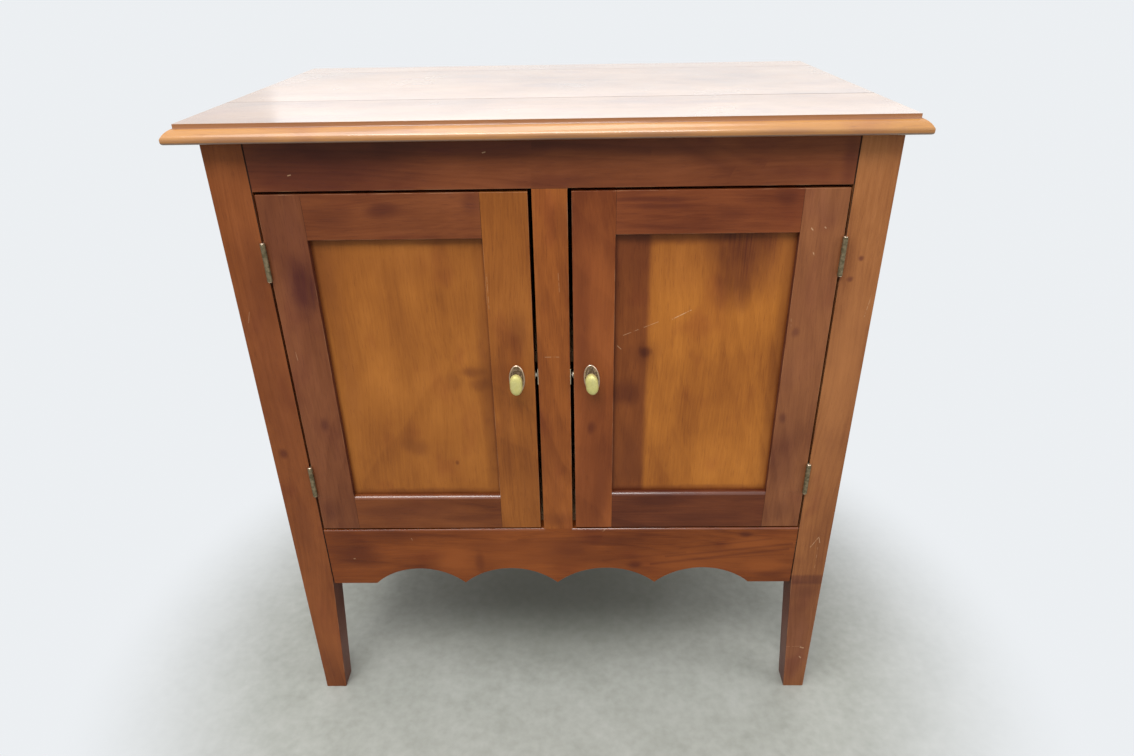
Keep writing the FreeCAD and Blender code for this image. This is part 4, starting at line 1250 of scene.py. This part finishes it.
start_clean()
bpy.ops.mesh.primitive_circle_add(vertices=72, radius=MM, fill_type="NGON")
plate = bpy.context.object
edit(plate)
bpy.ops.transform.resize(value=(10, 20, 1), center_override=(0, 0, 0))
bpy.ops.mesh.extrude_region_move(TRANSFORM_OT_translate={"value": (0, 0, 0.8 * MM)})
for inward, up in RIM_RINGS:
    bpy.ops.mesh.inset(thickness=inward * MM, depth=0, use_even_offset=True)
    bpy.ops.transform.translate(value=(0, 0, up * MM))
for share, up in DOME_RINGS:
    bpy.ops.mesh.extrude_region_move(TRANSFORM_OT_translate={"value": (0, 0, up * MM)})
    bpy.ops.transform.resize(value=(share, share, 1), center_override=(0, 0, 0))
pick("FACE", lambda face: True)
bpy.ops.mesh.normals_make_consistent(inside=False)


def on_rim(face):
    spot = middle(face)
    return spot.z > 0.95 and (spot.x / 10) ** 2 + (spot.y / 20) ** 2 > 0.72


mark(on_rim, WORN)
start_clean()

# %% Placing on the doors
TURNED = {"left": 0, "right": math.radians(-6)}


def fit_to_doors(pattern, node, finish, smooth):
    """Put a copy of a pattern on each door, at the middle of the engineered plate."""
    for side, lean in TURNED.items():
        low, high = box(f"knob_plate_{side}")
        centre = (low + high) / 2
        twin = bpy.data.objects.new(node, pattern.data.copy())
        bpy.context.scene.collection.objects.link(twin)
        twin.location = (centre.x * MM, CASE_FRONT * MM, centre.z * MM)
        twin.rotation_euler = (math.pi / 2, lean, 0)
        settle(twin, f"{node}_{side}_made", finish, f"{node}_{side}", smooth)
    bpy.data.objects.remove(pattern)


fit_to_doors(plate, "knob_plate", PLATE_BRASS, 35)

# %% Knobs
RINGS = (
    (5.2, 5.2, 0.95), (5.0, 5.0, 1.4), (4.2, 4.2, 2.2), (3.8, 3.7, 3.4), (3.6, 3.6, 5.0),
    (4.1, 4.2, 6.4), (5.1, 6.5, 7.8), (6.5, 10.0, 9.2), (7.4, 12.6, 10.8), (7.8, 13.8, 12.6),
    (7.9, 14.1, 14.6), (7.8, 14.0, 16.2), (7.4, 13.4, 17.7), (6.6, 12.4, 18.9), (5.4, 10.8, 19.7),
    (3.6, 8.2, 20.2), (1.8, 4.6, 20.4),
)
PULLED_APART = 0.3
start_clean()
bpy.ops.mesh.primitive_circle_add(vertices=66, radius=MM, fill_type="NGON")
knob = bpy.context.object
edit(knob)
for way in (1, -1):
    pick("VERT", lambda point: point.co.y * way > 0)
    bpy.ops.transform.translate(value=(0, way * PULLED_APART * MM, 0))
pick("FACE", lambda face: True)
across, tall, out = RINGS[0]
growth = (across, tall / (1 + PULLED_APART), 1)
bpy.ops.transform.resize(value=growth, center_override=(0, 0, 0))
bpy.ops.transform.translate(value=(0, 0, out * MM))
for wider, taller, farther in RINGS[1:]:
    step = (0, 0, (farther - out) * MM)
    bpy.ops.mesh.extrude_region_move(TRANSFORM_OT_translate={"value": step})
    growth = (wider / across, taller / tall, 1)
    bpy.ops.transform.resize(value=growth, center_override=(0, 0, 0))
    across, tall, out = wider, taller, farther
pick("FACE", lambda face: True)
bpy.ops.mesh.normals_make_consistent(inside=False)
start_clean()
fit_to_doors(knob, "knob", KNOB_BRASS, 60)

# %% [markdown]
# ## Catches
#
# The barrels and balls keep their engineered shape, which is already turned; they only need
# their metals. The springs are copied, each with a mesh of its own, and the share of each
# spring's length that would stay when its ball is pressed in is worked out, though nothing uses
# it.

# %% Metals on the engineered pieces
for side in ("left", "right"):
    for piece, finish in (("catch_barrel", HINGE_BRASS), ("catch_ball", BALL_STEEL)):
        for place in frame["nodes"][f"{piece}_{side}"].material_slots:
            place.material = finish

# %% Springs
for joint in frame["record"]["behaviour"]["joints"]:
    side = joint["parent"].removeprefix("door_")
    if joint["name"] == f"catch_{side}_press":
        node = f"catch_spring_{side}"
        low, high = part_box(node)
        stays = 1 - joint["range_m"][1] / (high.x - low.x)
        spring = copied(node)
        settle(spring, f"{node}_wound", STEEL, node, 60)
        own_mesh(spring)

# %% The two boxes, and the end
low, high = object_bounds()
print("the dressed box in mm:", [round(c / MM, 1) for c in (*low, *high)])
